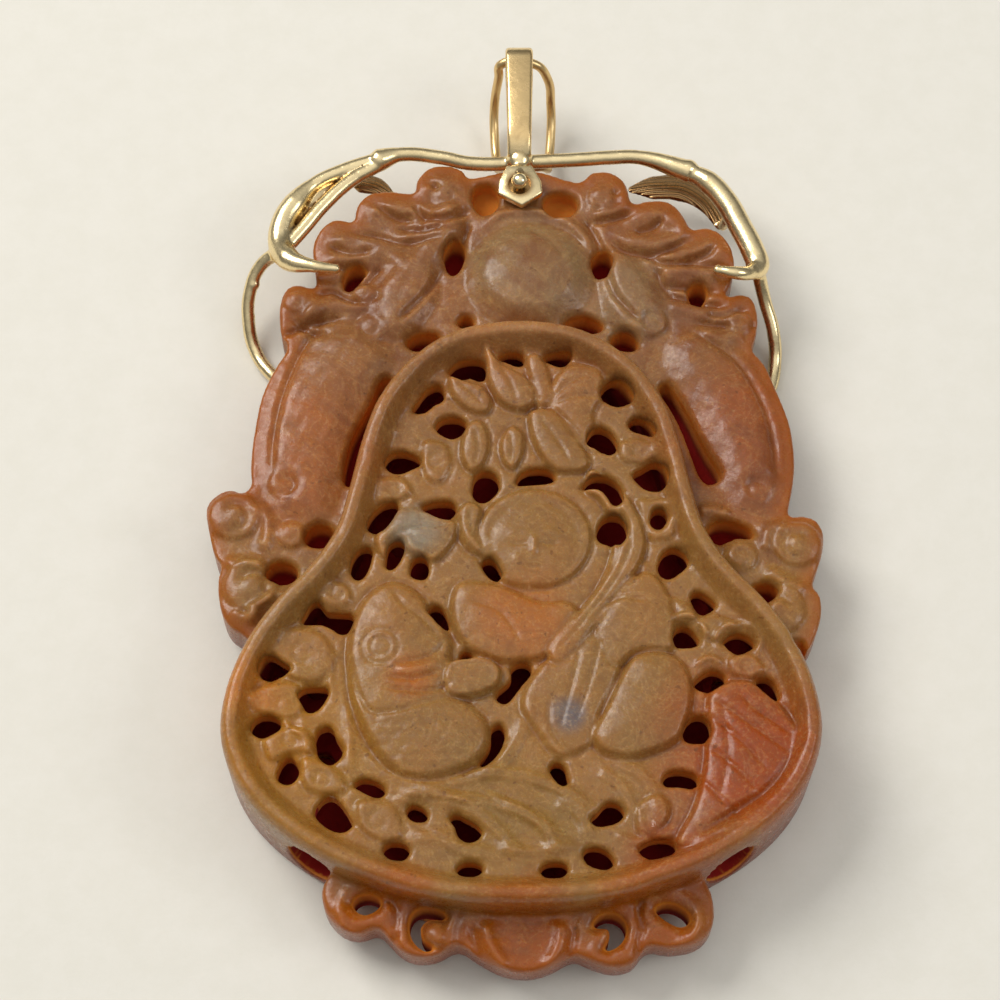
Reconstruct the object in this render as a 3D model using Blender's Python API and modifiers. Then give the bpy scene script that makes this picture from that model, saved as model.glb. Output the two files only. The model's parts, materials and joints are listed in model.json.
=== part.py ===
"""Pierced jade pendant in a gold branch frame, lying on its back.

The jade is one hollow carving: a gourd-shaped panel with a raised rim, two dragons and a pearl
above it, scroll lobes at its sides and a frill of rings below. The frame grips it with two claws
in front and two wires behind, and carries a bail whose wire loop swings open on a hinge.
X runs to the right, Y towards the bail, Z up out of the carved face.
"""

import math

import bmesh
import bpy
from mathutils import Matrix, Vector

MM = 0.001

# Jade: the carving is drawn for a panel 50 mm wide, and its plan keeps the proportions
JADE_WIDTH = 50.0 * MM
DRAWN_WIDTH = 50.0
PANEL_TOP = 8.8 * MM
PANEL_WALL = 2.4 * MM
BACK_WALL = 1.9 * MM
SIDE_WALL = 1.9 * MM
RIM_WIDTH = 1.9 * MM
RIM_RISE = 1.5 * MM
RIM_ROUND = 0.55 * MM
SURROUND_BACK = 1.7 * MM
SURROUND_TOP = 6.9 * MM
SURROUND_FLOOR = 1.2 * MM
EDGE_ROUND = 0.9 * MM
LOBE_RISE = 0.7 * MM
CREST_RISE = 2.2 * MM
FRILL_BACK = 1.9 * MM
FRILL_TOP = 6.2 * MM
VOLUTE_DEPTH = 0.45 * MM
SIDE_OPENING_WIDTH = 4.0 * MM
SIDE_OPENING_LIP = 1.5 * MM
SIDE_OPENING_DEPTH = 4.6 * MM
LOWER_LOBE_SHARE = 0.6
FORM_OVERLAP = 0.1 * MM

# Gold frame
BRANCH_RADIUS = 0.58 * MM
WIRE_RADIUS = 0.5 * MM
CLAW_TIP_RADIUS = 0.4 * MM
ARM_RADIUS = 0.85 * MM
FRAME_GAP = 0.3 * MM
LEAF_WIDTH = 2.4 * MM
LEAF_THICKNESS = 0.9 * MM
BEZEL_THICKNESS = 0.8 * MM
BEZEL_RADIUS = 1.85 * MM
BEAD_RADIUS = 0.72 * MM
BEAD_SEAT_DEPTH = 0.45 * MM
KNOT_RADIUS = 1.2 * MM

# Bail
BAR_WIDTH = 2.5 * MM
BAR_THICKNESS = 1.3 * MM
BAR_LENGTH = 11.2 * MM
KNUCKLE_RADIUS = 1.5 * MM
LOOP_RADIUS = 0.42 * MM
HINGE_GAP = 0.3 * MM
LOOP_DEPTH = 6.0 * MM
LOOP_OFFSET = 0.35 * MM
BAR_RISE = 1.0 * MM

# Facets
TUBE_RESOLUTION = 1
DRAGON_RESOLUTION = 2
HOLE_SIDES = (6, 8)
LARGE_HOLE = 2.7
FORM_SEGMENTS = (7, 10)
LARGE_FORM = 3.4
FORM_RINGS = 6
FORM_SINK = 1.0 * MM
LOBE_SIDES = 10
STEP = 0.07 * MM

PLAN = JADE_WIDTH / DRAWN_WIDTH
PANEL_CREST = PANEL_TOP + RIM_RISE
SURROUND_CREST = SURROUND_TOP + CREST_RISE
SURROUND_MIDDLE = (SURROUND_BACK + SURROUND_TOP) / 2

# Half of the gourd's rim, drawn in millimetres from its top to its bottom
GOURD_HALF = [
    (0.0, 16.3), (5.4, 15.4), (9.4, 12.8), (12.2, 9.0), (13.6, 5.0), (14.5, 1.0), (15.6, -3.0),
    (17.7, -6.4), (20.4, -9.4), (22.7, -12.8), (24.3, -17.0), (24.7, -21.0), (23.5, -24.8),
    (21.0, -28.1), (17.2, -31.0), (12.6, -33.2), (6.8, -34.9), (0.0, -35.4),
]
GOURD_SHIFT = 0.2

# The plate that carries the dragons, drawn clockwise from the neck at the left
SURROUND_OUTLINE = [
    (-19.0, -8.0), (-22.4, -4.5), (-22.7, 0.5), (-22.8, 5.0), (-22.1, 9.6), (-20.3, 14.0),
    (-18.0, 19.0), (-16.2, 24.0), (-12.0, 28.0), (-6.0, 30.4), (0.4, 31.7), (6.0, 30.6),
    (11.6, 27.4), (16.6, 23.6), (18.2, 19.0), (20.4, 14.4), (22.2, 11.2), (23.5, 6.9),
    (23.7, 3.0), (23.0, -1.4), (22.6, -6.5), (20.0, -10.0), (0.0, 4.0),
]

# Lobes along the edge: x, y, radius
LOBES = [
    (-6.7, 29.8, 2.8), (-11.6, 27.1, 2.8), (-15.5, 24.5, 2.6), (-18.5, 18.2, 2.4),
    (7.5, 29.2, 2.7), (12.3, 26.4, 2.6), (16.6, 23.7, 2.5), (18.6, 17.4, 2.4),
    (-24.2, -0.7, 2.6), (-23.6, -3.2, 2.3), (-22.9, -7.3, 2.6), (-22.3, -9.2, 2.2),
    (23.7, -2.9, 2.4), (23.2, -5.0, 2.2), (22.9, -9.1, 2.7), (22.4, -11.0, 2.2),
]

# Frill below the panel: x, y, radius
FRILL_LOBES = [
    (-12.9, -34.4, 3.0), (-7.6, -36.0, 3.1), (0.4, -35.6, 4.7), (7.4, -36.7, 3.1),
    (12.8, -35.4, 2.9),
]
FRILL_HOLES = [
    (-12.7, -34.7, 2.3, 1.8, 20), (-7.7, -36.2, 2.7, 2.2, 0), (7.2, -36.5, 2.6, 2.2, -40),
    (12.5, -35.4, 2.4, 1.9, 0),
]

# Holes through the panel: x, y, length, width, turn in degrees
PANEL_HOLES = [
    (-4.4, 11.5, 3.3, 1.6, 0), (-7.7, 8.9, 3.4, 1.4, 41), (-0.6, 12.6, 2.5, 1.1, -27),
    (3.5, 12.6, 2.4, 1.2, 0), (8.2, 9.4, 2.9, 2.2, -16), (-5.7, 6.2, 2.6, 1.6, 0),
    (10.4, 6.1, 2.6, 1.2, -32), (7.1, 4.9, 2.9, 2.1, -27), (-10.0, 3.0, 2.7, 1.9, 0),
    (-2.7, 0.8, 2.4, 2.6, 0), (1.3, 1.7, 3.1, 1.5, 0), (6.5, 1.1, 2.5, 1.5, -11),
    (8.1, -0.1, 2.1, 1.5, -53), (11.3, 1.5, 2.9, 2.0, 0), (7.9, -3.1, 2.6, 2.8, 0),
    (11.8, -2.1, 2.2, 1.3, 90), (13.1, -6.0, 2.6, 2.2, 41), (-11.4, -1.9, 3.4, 1.9, 62),
    (-6.8, -1.1, 3.0, 1.3, -16), (-13.2, -6.2, 3.2, 1.8, 82), (-10.4, -5.6, 2.4, 1.3, 67),
    (-8.3, -6.6, 2.1, 1.5, 90), (-2.3, -6.7, 2.3, 1.3, -52), (-6.7, -10.9, 2.4, 1.4, -56),
    (-4.4, -14.2, 1.3, 0.9, -16), (-0.5, -16.6, 3.9, 1.6, 49), (-1.8, -21.4, 2.6, 1.1, 90),
    (-2.7, -23.1, 2.2, 0.8, 51), (-17.0, -10.7, 2.2, 1.7, 21), (-15.1, -11.2, 2.4, 1.6, -31),
    (-20.2, -15.5, 2.0, 1.9, 0), (-17.0, -18.1, 2.5, 1.5, -10), (-20.6, -20.4, 2.4, 1.5, 10),
    (-15.6, -22.1, 3.4, 2.0, -70), (-18.7, -24.2, 2.0, 2.2, 0), (-15.2, -27.6, 2.9, 2.6, 0),
    (-12.2, -25.6, 2.9, 1.3, -15), (-8.2, -27.8, 1.9, 1.4, -10), (-4.4, -29.1, 2.9, 1.6, -31),
    (-9.9, -31.0, 2.4, 1.4, -10), (-3.9, -32.2, 2.2, 1.1, 0), (2.9, -32.2, 2.3, 1.4, 0),
    (6.7, -31.4, 2.7, 1.8, -10), (11.2, -30.6, 2.9, 1.5, 10), (7.2, -27.8, 2.8, 1.7, 15),
    (3.3, -24.4, 2.3, 1.2, -61), (13.1, -25.0, 2.8, 1.3, 0), (14.6, -20.6, 2.2, 2.4, 0),
    (15.8, -16.4, 2.5, 1.9, 16), (14.0, -12.5, 2.2, 2.1, 0), (18.3, -13.3, 2.6, 1.8, 0),
    (15.4, -9.7, 2.2, 1.6, -16), (20.1, -17.2, 2.3, 1.2, -47),
]

# Pockets sunk beside the dragons: x, y, length, width, turn in degrees
POCKETS = [
    (-12.3, 9.9, 4.6, 1.5, 58), (-13.9, 5.0, 6.4, 1.5, 77), (13.5, 9.3, 4.6, 1.4, -61),
    (15.6, 4.9, 5.6, 1.7, -69), (-17.0, -2.7, 2.4, 1.8, 0), (-20.1, -6.2, 2.5, 2.0, 11),
    (17.9, -2.3, 3.2, 1.9, 10), (20.8, -7.9, 2.3, 2.0, -21), (-5.7, 23.9, 3.8, 1.8, 85),
    (7.7, 22.9, 3.0, 1.9, 95), (-8.5, 16.4, 2.5, 1.5, 22), (-4.7, 18.3, 1.6, 1.0, 0),
    (5.6, 17.9, 3.2, 1.4, -17), (9.5, 16.3, 2.4, 1.5, -27), (-14.8, 21.9, 2.5, 1.3, 73),
    (15.8, 20.3, 2.3, 1.3, -73),
]
SHALLOW_POCKETS = [(-3.0, 29.6, 2.4, 2.2, 0), (3.8, 29.3, 2.4, 2.4, 0)]

# Plainer holes of the back: one ring beside the wall and one inside it, as shares of the gourd
BACK_RINGS = [(0.72, 14, 2.0), (0.36, 7, 2.0)]

# Carved forms of the panel: x, y, half length, half width, rise, turn in degrees
PANEL_FORMS = {
    "lotus petal": [(-4.0, 9.2, 2.4, 1.1, 1.1, -42), (-0.6, 10.2, 2.9, 1.7, 1.4, -68),
                    (3.6, 10.2, 2.4, 2.0, 1.1, 30), (5.0, 7.4, 2.6, 1.6, 1.0, -28),
                    (-3.4, 5.4, 2.4, 1.2, 1.1, 80), (-0.5, 5.2, 2.2, 1.2, 1.2, 95),
                    (2.6, 5.6, 2.5, 1.9, 1.2, -60)],
    "head": [(1.0, -4.0, 4.6, 4.3, 2.0, 0)],
    "hair": [(-1.9, -2.2, 1.4, 2.4, 1.4, 20), (4.6, -1.4, 1.2, 2.2, 1.3, -30)],
    "chest": [(-0.6, -11.2, 4.6, 2.6, 1.2, -12), (3.6, -12.2, 3.2, 2.0, 1.2, 40)],
    "sleeve": [(10.9, -10.6, 4.6, 3.2, 1.6, -70)],
    "leg": [(11.4, -18.2, 4.5, 3.4, 1.8, 70), (5.9, -17.0, 5.0, 3.4, 1.3, 60)],
    "fish": [(-9.2, -12.6, 4.4, 4.0, 1.5, 20), (-8.8, -19.3, 6.0, 6.0, 1.8, 0),
             (-3.5, -16.0, 2.2, 1.3, 1.4, 8)],
    "tail": [(-3.5, -26.6, 4.4, 1.2, 1.0, -8), (3.4, -28.6, 4.6, 1.1, 1.0, -22)],
    "leaf": [(-8.3, -3.6, 3.2, 2.2, 1.2, 15), (18.6, -23.2, 5.9, 3.5, 1.3, 72)],
    "cloud": [(-17.9, -14.2, 2.0, 1.5, 1.0, 20), (-18.6, -18.4, 1.5, 1.5, 1.0, 0),
              (-18.0, -21.6, 1.5, 1.2, 0.9, -30), (-11.6, -28.4, 2.0, 1.3, 0.9, 0),
              (16.2, -13.6, 1.4, 1.2, 0.9, 0), (13.4, -2.6, 1.2, 2.2, 0.9, 15)],
}

# Stem that bends round the head, and how thick it is carved
STEM_PATH = [(5.4, 3.0), (8.6, 0.6), (10.3, -3.8), (9.2, -7.6), (5.8, -11.6), (3.0, -15.4)]
STEM_RADIUS = 1.1

# Dragons: the middle line of each body, with its half width at each point
LEFT_DRAGON = [(-8.4, 25.6, 2.6), (-11.4, 21.6, 3.2), (-14.6, 16.6, 3.8), (-17.2, 11.0, 4.2),
               (-18.5, 5.6, 4.0), (-18.7, 0.6, 3.2), (-19.6, -3.4, 1.8)]
RIGHT_DRAGON = [(9.8, 25.0, 2.6), (12.4, 21.0, 3.2), (15.6, 16.2, 3.8), (18.2, 11.0, 4.2),
                (19.6, 5.4, 4.0), (19.6, 0.2, 3.2), (20.4, -4.6, 1.8)]
CURLS = [(-12.6, 15.6, 1.7), (14.6, 15.2, 1.7), (-19.0, -0.6, 1.4), (19.6, -1.4, 1.4)]
VOLUTES = [(-24.0, -0.9, 1.35), (-22.5, -7.2, 1.35), (23.5, -3.2, 1.2), (21.8, -9.6, 1.2)]
PEARL = (1.1, 22.9, 5.4)

# Side openings: the place on the gourd's edge, and the way each faces in degrees
SIDE_OPENINGS = [(-17.2, -31.0, 233), (17.6, -31.0, 307)]

# Frame: x, y and height of each wire's points; heights are named below from the jade's own
BRANCH_HEIGHT = SURROUND_TOP - 0.4 * MM
REAR_WIRE_HEIGHT = SURROUND_BACK - FRAME_GAP - WIRE_RADIUS
CLAW_HEIGHT = SURROUND_TOP + LOBE_RISE + FRAME_GAP + CLAW_TIP_RADIUS
BEZEL_BACK = SURROUND_TOP + FRAME_GAP
BAR_BACK = BRANCH_HEIGHT + BAR_RISE
HINGE_HEIGHT = BAR_BACK + BAR_THICKNESS - KNUCKLE_RADIUS

# Where the bezel's middle and the bar's foot stand, drawn in millimetres
BEZEL_PLACE = (0.2, 30.4)
BAR_FOOT = (0.2, 33.4)
BEZEL_CORNERS = [(-0.6, 1.05), (0.6, 1.05), (1.05, 0.2), (1.12, -0.45), (0.12, -1.15),
                 (-1.05, -0.5), (-1.0, 0.2)]

# Half of the bail's loop: share of its half width, share of its length, share of its depth
LOOP_HALF = [(0.55, 0.0, 0.0), (0.85, 0.05, 0.26), (1.0, 0.18, 0.75), (1.0, 0.42, 1.0),
             (0.88, 0.74, 0.97), (0.6, 0.95, 0.42)]
LOOP_HALF_WIDTH = 2.6 * MM

COLOURS = {
    "jade": ((0.38, 0.16, 0.055, 1), 0.3, 0.0),
    "gold": ((0.78, 0.56, 0.25, 1), 0.25, 1.0),
    "bead": ((0.9, 0.82, 0.55, 1), 0.12, 1.0),
}


def clear_scene():
    for obj in list(bpy.data.objects):
        bpy.data.objects.remove(obj, do_unlink=True)


def collection(name):
    made = bpy.data.collections.new(name)
    bpy.context.scene.collection.children.link(made)
    return made


def material(name):
    colour, roughness, metallic = COLOURS[name]
    made = bpy.data.materials.new(name)
    made.use_nodes = True
    shader = made.node_tree.nodes["Principled BSDF"]
    shader.inputs["Base Color"].default_value = colour
    shader.inputs["Roughness"].default_value = roughness
    shader.inputs["Metallic"].default_value = metallic
    return made


def plan(x, y, z=0.0):
    """A drawn place, in the jade's plan, at a height in metres."""
    return Vector((x * PLAN, y * PLAN, z))


def add_object(name, mesh, where):
    made = bpy.data.objects.new(name, mesh)
    where.objects.link(made)
    return made


def from_bmesh(name, shape, where):
    mesh = bpy.data.meshes.new(name)
    shape.to_mesh(mesh)
    shape.free()
    return add_object(name, mesh, where)


def curve_to_mesh(curve_object, where):
    """The evaluated curve as a closed mesh object, with its caps welded; the curve is removed."""
    bpy.context.view_layer.update()
    graph = bpy.context.evaluated_depsgraph_get()
    mesh = bpy.data.meshes.new_from_object(curve_object.evaluated_get(graph))
    shape = bmesh.new()
    shape.from_mesh(mesh)
    bmesh.ops.remove_doubles(shape, verts=shape.verts, dist=0.001 * MM)
    bmesh.ops.recalc_face_normals(shape, faces=shape.faces)
    shape.to_mesh(mesh)
    shape.free()
    made = add_object(curve_object.name + " solid", mesh, where)
    made.matrix_world = curve_object.matrix_world
    bpy.data.objects.remove(curve_object, do_unlink=True)
    return made


def smooth_through(points, steps, closed):
    """Points of a smooth curve through the given ones, with steps between each two."""
    count = len(points)
    spans = count if closed else count - 1
    result = []
    for i in range(spans):
        around = [(i + k) % count if closed else min(max(i + k, 0), count - 1) for k in (-1, 0, 1, 2)]
        a, b, c, d = (Vector(points[k]) for k in around)
        for step in range(steps):
            t = step / steps
            result.append(0.5 * (2 * b + (c - a) * t + (2 * a - 5 * b + 4 * c - d) * t ** 2
                                 + (3 * b - a - 3 * c + d) * t ** 3))
    if not closed:
        result.append(Vector(points[-1]))
    return result


def plate(name, outline, bottom, top, where):
    """A flat outline, in metres, extruded between two heights."""
    data = bpy.data.curves.new(name, "CURVE")
    data.dimensions = "2D"
    data.fill_mode = "BOTH"
    data.extrude = (top - bottom) / 2
    spline = data.splines.new("POLY")
    spline.points.add(len(outline) - 1)
    for point, (x, y) in zip(spline.points, outline):
        point.co = (x, y, 0, 1)
    spline.use_cyclic_u = True
    flat = add_object(name, data, where)
    flat.location.z = (bottom + top) / 2
    return curve_to_mesh(flat, where)


def round_edges(obj, width):
    bevel = obj.modifiers.new("round edges", "BEVEL")
    bevel.width = width
    bevel.segments = 1
    bevel.limit_method = "ANGLE"
    bevel.angle_limit = math.radians(50)
    bevel.use_clamp_overlap = True


def prism(name, x, y, length, width, turn, bottom, top, where):
    """An upright prism with an oval plan, at a drawn place; sizes in drawn millimetres."""
    sides = HOLE_SIDES[length > LARGE_HOLE]
    spin = Matrix.Rotation(math.radians(turn), 4, "Z")
    size = Matrix.Diagonal((length * PLAN, width * PLAN, top - bottom, 1))
    half_facet = Matrix.Rotation(math.pi / sides, 4, "Z")
    place = Matrix.Translation(plan(x, y, (bottom + top) / 2)) @ spin @ size @ half_facet
    return drum(name, place, where, sides)


def dome(name, x, y, half_length, half_width, base, rise, turn, where):
    """A rounded form, widest at the base height, with a shallow underside below it."""
    shape = bmesh.new()
    segments = FORM_SEGMENTS[half_length > LARGE_FORM]
    bmesh.ops.create_uvsphere(shape, u_segments=segments, v_segments=FORM_RINGS, radius=1.0)
    for vert in shape.verts:
        if vert.co.z < 0:
            vert.co.z *= FORM_SINK / rise
    spin = Matrix.Rotation(math.radians(turn), 4, "Z")
    size = Matrix.Diagonal((half_length * PLAN, half_width * PLAN, rise, 1))
    shape.transform(Matrix.Translation(plan(x, y, base)) @ spin @ size)
    return from_bmesh(name, shape, where)


def drum(name, place, where, sides=12):
    """A cylinder of unit diameter and length along Z, moved by a matrix."""
    shape = bmesh.new()
    bmesh.ops.create_cone(shape, cap_ends=True, segments=sides, radius1=0.5, radius2=0.5, depth=1.0)
    shape.transform(place)
    return from_bmesh(name, shape, where)


def lobe(name, x, y, radius, bottom, top, where):
    """A round lobe with a sloping shoulder, at a drawn place."""
    rings = [(1.0, bottom), (1.0, top - EDGE_ROUND), (1.0 - EDGE_ROUND / (radius * PLAN), top)]
    shape = bmesh.new()
    loops = []
    for share, z in rings:
        loops.append([shape.verts.new(plan(x, y, z) + share * radius * PLAN * Vector(
            (math.cos(2 * math.pi * k / LOBE_SIDES), math.sin(2 * math.pi * k / LOBE_SIDES), 0)))
            for k in range(LOBE_SIDES)])
    for lower, upper in zip(loops, loops[1:]):
        for k in range(LOBE_SIDES):
            after = (k + 1) % LOBE_SIDES
            shape.faces.new((lower[k], lower[after], upper[after], upper[k]))
    shape.faces.new(loops[0][::-1])
    shape.faces.new(loops[-1])
    return from_bmesh(name, shape, where)


def raise_underside(obj, share):
    """Brings what lies below the object's middle height nearer to that height."""
    for vert in obj.data.vertices:
        if vert.co.z < 0:
            vert.co.z *= share


def tube(name, points, where, resolution=TUBE_RESOLUTION, closed=False, flatten=1.0):
    """A wire through points that each hold a place and a radius, all in metres."""
    data = bpy.data.curves.new(name, "CURVE")
    data.dimensions = "3D"
    data.bevel_depth = 1.0
    data.bevel_resolution = resolution
    data.use_fill_caps = True
    spline = data.splines.new("POLY")
    spline.points.add(len(points) - 1)
    middle = sum(p[2] for p in points) / len(points)
    for point, (x, y, z, radius) in zip(spline.points, points):
        point.co = (x, y, (z - middle) / flatten, 1)
        point.radius = radius
    spline.use_cyclic_u = closed
    wire = add_object(name, data, where)
    wire.scale.z = flatten
    wire.location.z = middle
    return curve_to_mesh(wire, where)


def combine(target, operation, others):
    """A Boolean of the target with every object of a collection."""
    boolean = target.modifiers.new(operation.lower(), "BOOLEAN")
    boolean.operation = operation
    boolean.operand_type = "COLLECTION"
    boolean.collection = others
    boolean.solver = "EXACT"


def apply_modifiers(obj):
    """Replaces the object's mesh by what its modifiers make of it."""
    bpy.context.view_layer.update()
    graph = bpy.context.evaluated_depsgraph_get()
    mesh = bpy.data.meshes.new_from_object(obj.evaluated_get(graph))
    obj.modifiers.clear()
    obj.data = mesh


def hide_helpers(where):
    where.hide_render = True
    for obj in where.objects:
        obj.hide_render = True
        obj.display_type = "WIRE"


def gourd(inset, steps=2):
    """The gourd's outline in metres, moved inwards by the inset along its own normals."""
    half = [Vector(p) for p in GOURD_HALF]
    left = [Vector((-p.x, p.y)) for p in reversed(half[1:-1])]
    line = smooth_through([p[:] for p in half + left], steps, True)
    count = len(line)
    result = []
    for i, point in enumerate(line):
        along = line[(i + 1) % count] - line[i - 1]
        inwards = Vector((along.y, -along.x)).normalized()
        place = (point + Vector((GOURD_SHIFT, 0))) * PLAN + inwards * inset
        result.append(place[:])
    return result


def build_jade(parts, recess, forms):
    """The gourd, with what is cut from it first and what is joined to it."""
    body = plate("gourd", gourd(0), 0, PANEL_CREST, parts)
    round_edges(body, RIM_ROUND)
    apply_modifiers(body)

    plate("recess", gourd(RIM_WIDTH), PANEL_TOP, PANEL_CREST + RIM_RISE, recess)
    plate("hollow", gourd(SIDE_WALL, 1), BACK_WALL, PANEL_TOP - PANEL_WALL, recess)

    surround = [(x * PLAN, y * PLAN) for x, y in smooth_through(SURROUND_OUTLINE, 2, True)]
    base = plate("surround", surround, SURROUND_BACK, SURROUND_TOP, forms)
    round_edges(base, EDGE_ROUND)
    for i, (x, y, radius) in enumerate(LOBES):
        top = SURROUND_TOP + LOBE_RISE * (1.0 if i % 2 else LOWER_LOBE_SHARE)
        lobe(f"lobe {i}", x, y, radius, SURROUND_BACK + (1 + i % 3) * STEP, top, forms)
    for i, (x, y, radius) in enumerate(FRILL_LOBES):
        offset = (i % 2) * STEP
        lobe(f"frill {i}", x, y, radius, FRILL_BACK + offset, FRILL_TOP + offset, forms)
    for side, line in (("left", LEFT_DRAGON), ("right", RIGHT_DRAGON)):
        rise = SURROUND_CREST - SURROUND_MIDDLE
        points = [(x * PLAN, y * PLAN, SURROUND_MIDDLE, r * PLAN) for x, y, r in line]
        widest = max(p[3] for p in points)
        dragon = tube(f"{side} dragon", points, forms, DRAGON_RESOLUTION, flatten=rise / widest)
        raise_underside(dragon, FORM_SINK / rise)
    for i, (x, y, radius) in enumerate(CURLS):
        dome(f"curl {i}", x, y, radius, radius, SURROUND_TOP, CREST_RISE, 0, forms)
    x, y, radius = PEARL
    dome("pearl", x, y, radius, radius, SURROUND_MIDDLE, PANEL_CREST - SURROUND_MIDDLE, 0, forms)
    for name, places in PANEL_FORMS.items():
        for i, (x, y, length, width, rise, turn) in enumerate(places):
            dome(f"{name} {i}", x, y, length, width, PANEL_TOP - FORM_OVERLAP, rise * MM, turn,
                 forms)
    stem = [(x * PLAN, y * PLAN, PANEL_TOP, STEM_RADIUS * PLAN) for x, y in STEM_PATH]
    tube("stem", stem, forms)

    body.name = "jade_carving"
    return body


def cut_jade(cutters):
    """Everything that is cut last: holes, pockets, volutes and the two side openings."""
    hollow_middle = (BACK_WALL + PANEL_TOP - PANEL_WALL) / 2
    above = PANEL_CREST + RIM_RISE
    for i, place in enumerate(PANEL_HOLES):
        prism(f"hole {i}", *place, hollow_middle - (1 + i % 7) * STEP, above, cutters)
    for i, place in enumerate(POCKETS):
        floor = SURROUND_BACK + SURROUND_FLOOR + (i % 3) * STEP
        prism(f"pocket {i}", *place, floor, above, cutters)
    for i, place in enumerate(SHALLOW_POCKETS):
        prism(f"dip {i}", *place, SURROUND_MIDDLE, above, cutters)
    for i, place in enumerate(FRILL_HOLES):
        prism(f"frill hole {i}", *place, -BACK_WALL, above, cutters)
    for i, (x, y, radius) in enumerate(VOLUTES):
        floor = SURROUND_TOP + LOBE_RISE - VOLUTE_DEPTH
        prism(f"volute {i}", x, y, 2 * radius, 2 * radius, 0, floor, above, cutters)

    outline = [Vector(p) / PLAN for p in gourd(0)]
    middle = sum(outline, Vector((0, 0))) / len(outline)
    for share, count, size in BACK_RINGS:
        for i in range(count):
            edge = outline[round(i * len(outline) / count) % len(outline)]
            x, y = middle + (edge - middle) * share
            prism(f"back hole {share} {i}", x, y, size, size, 0, -BACK_WALL, hollow_middle + STEP,
                  cutters)

    height = PANEL_TOP - 2 * SIDE_OPENING_LIP
    for i, (x, y, facing) in enumerate(SIDE_OPENINGS):
        size = Matrix.Diagonal((height, SIDE_OPENING_WIDTH, SIDE_OPENING_DEPTH, 1))
        turn = Matrix.Rotation(math.radians(facing), 4, "Z") @ Matrix.Rotation(math.pi / 2, 4, "Y")
        drum(f"side opening {i}", Matrix.Translation(plan(x, y, PANEL_TOP / 2)) @ turn @ size, cutters)


def wires():
    """The frame's wires and leaves: name, points with radii, and whether it is a flat leaf."""
    b, w, arm, tip = BRANCH_RADIUS, WIRE_RADIUS, ARM_RADIUS, CLAW_TIP_RADIUS
    leaf = LEAF_WIDTH / 2
    top, rear, claw = BRANCH_HEIGHT, REAR_WIRE_HEIGHT, CLAW_HEIGHT
    rising, side = (top + claw) / 2, (top + rear) / 2
    upper, lower = (top + side) / 2, (side + rear) / 2

    def line(*points):
        return [(*plan(x, y, z), r) for x, y, z, r in points]

    return [
        ("branch", line((-12.5, 33.6, top, arm), (-10.6, 34.2, top, b), (-6.9, 33.9, top, b),
                        (-4.2, 33.3, top, b), (2.1, 33.5, top, b), (5.7, 33.7, top, b),
                        (8.4, 33.9, top, b), (11.1, 33.9, top, b), (15.6, 32.4, top, arm)), False),
        ("left arm outside", line((-12.3, 33.8, top, b), (-15.8, 32.5, top, b), (-18.3, 31.1, top, b),
                                  (-19.9, 29.2, top, arm), (-20.9, 27.3, top, arm),
                                  (-21.1, 25.1, top, arm), (-20.2, 23.2, rising, arm),
                                  (-18.1, 22.1, claw, w), (-16.0, 21.8, claw, tip)), False),
        ("left arm inside", line((-12.3, 33.3, top, b), (-15.0, 31.5, top, b), (-17.3, 29.1, top, b),
                                 (-19.0, 26.8, top, b), (-20.4, 25.0, top, b)), False),
        ("left rear wire", line((-20.9, 24.6, top, b), (-22.9, 23.7, upper, w), (-23.9, 21.9, side, w),
                                (-24.1, 19.8, lower, w), (-23.5, 17.3, rear, w),
                                (-21.9, 14.9, rear, w), (-19.2, 12.6, rear, tip)), False),
        ("right arm", line((15.0, 32.7, top, b), (17.1, 31.4, top, arm), (18.7, 29.4, top, arm),
                           (19.9, 26.9, top, arm), (20.9, 24.6, top, arm), (21.3, 23.0, top, arm),
                           (20.6, 21.9, rising, b), (19.2, 21.4, claw, w), (17.6, 21.7, claw, tip)),
         False),
        ("right rear wire", line((21.2, 23.4, top, b), (22.1, 21.0, side, w), (22.9, 18.6, lower, w),
                                 (23.1, 16.2, rear, w), (22.4, 13.2, rear, w),
                                 (20.6, 10.6, rear, tip)), False),
        ("left leaf", line((-14.4, 33.0, top, tip), (-13.6, 32.2, side, leaf),
                           (-12.6, 30.8, side, leaf), (-11.4, 29.2, rear, tip)), True),
        ("right leaf", line((18.4, 29.9, top, tip), (16.6, 31.0, side, leaf),
                            (13.8, 31.6, side, leaf), (10.6, 31.8, side, tip)), True),
    ]


def lay_wires(target, gap, label=""):
    """Makes every wire and leaf in a collection, each side of it further out by the gap."""
    made = []
    for name, points, flat in wires():
        wider = [(x, y, z, radius + gap) for x, y, z, radius in points]
        flatten = (LEAF_THICKNESS / 2 + gap) / (LEAF_WIDTH / 2 + gap) if flat else 1.0
        made.append(tube(label + name, wider, target, flatten=flatten))
    return made


def bar_foot():
    return plan(*BAR_FOOT, BAR_BACK)


def hinge_place():
    """The middle of the bail's hinge, at the rounded top of the bar."""
    foot = bar_foot()
    return Vector((foot.x, foot.y + BAR_LENGTH - KNUCKLE_RADIUS, HINGE_HEIGHT))


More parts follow.
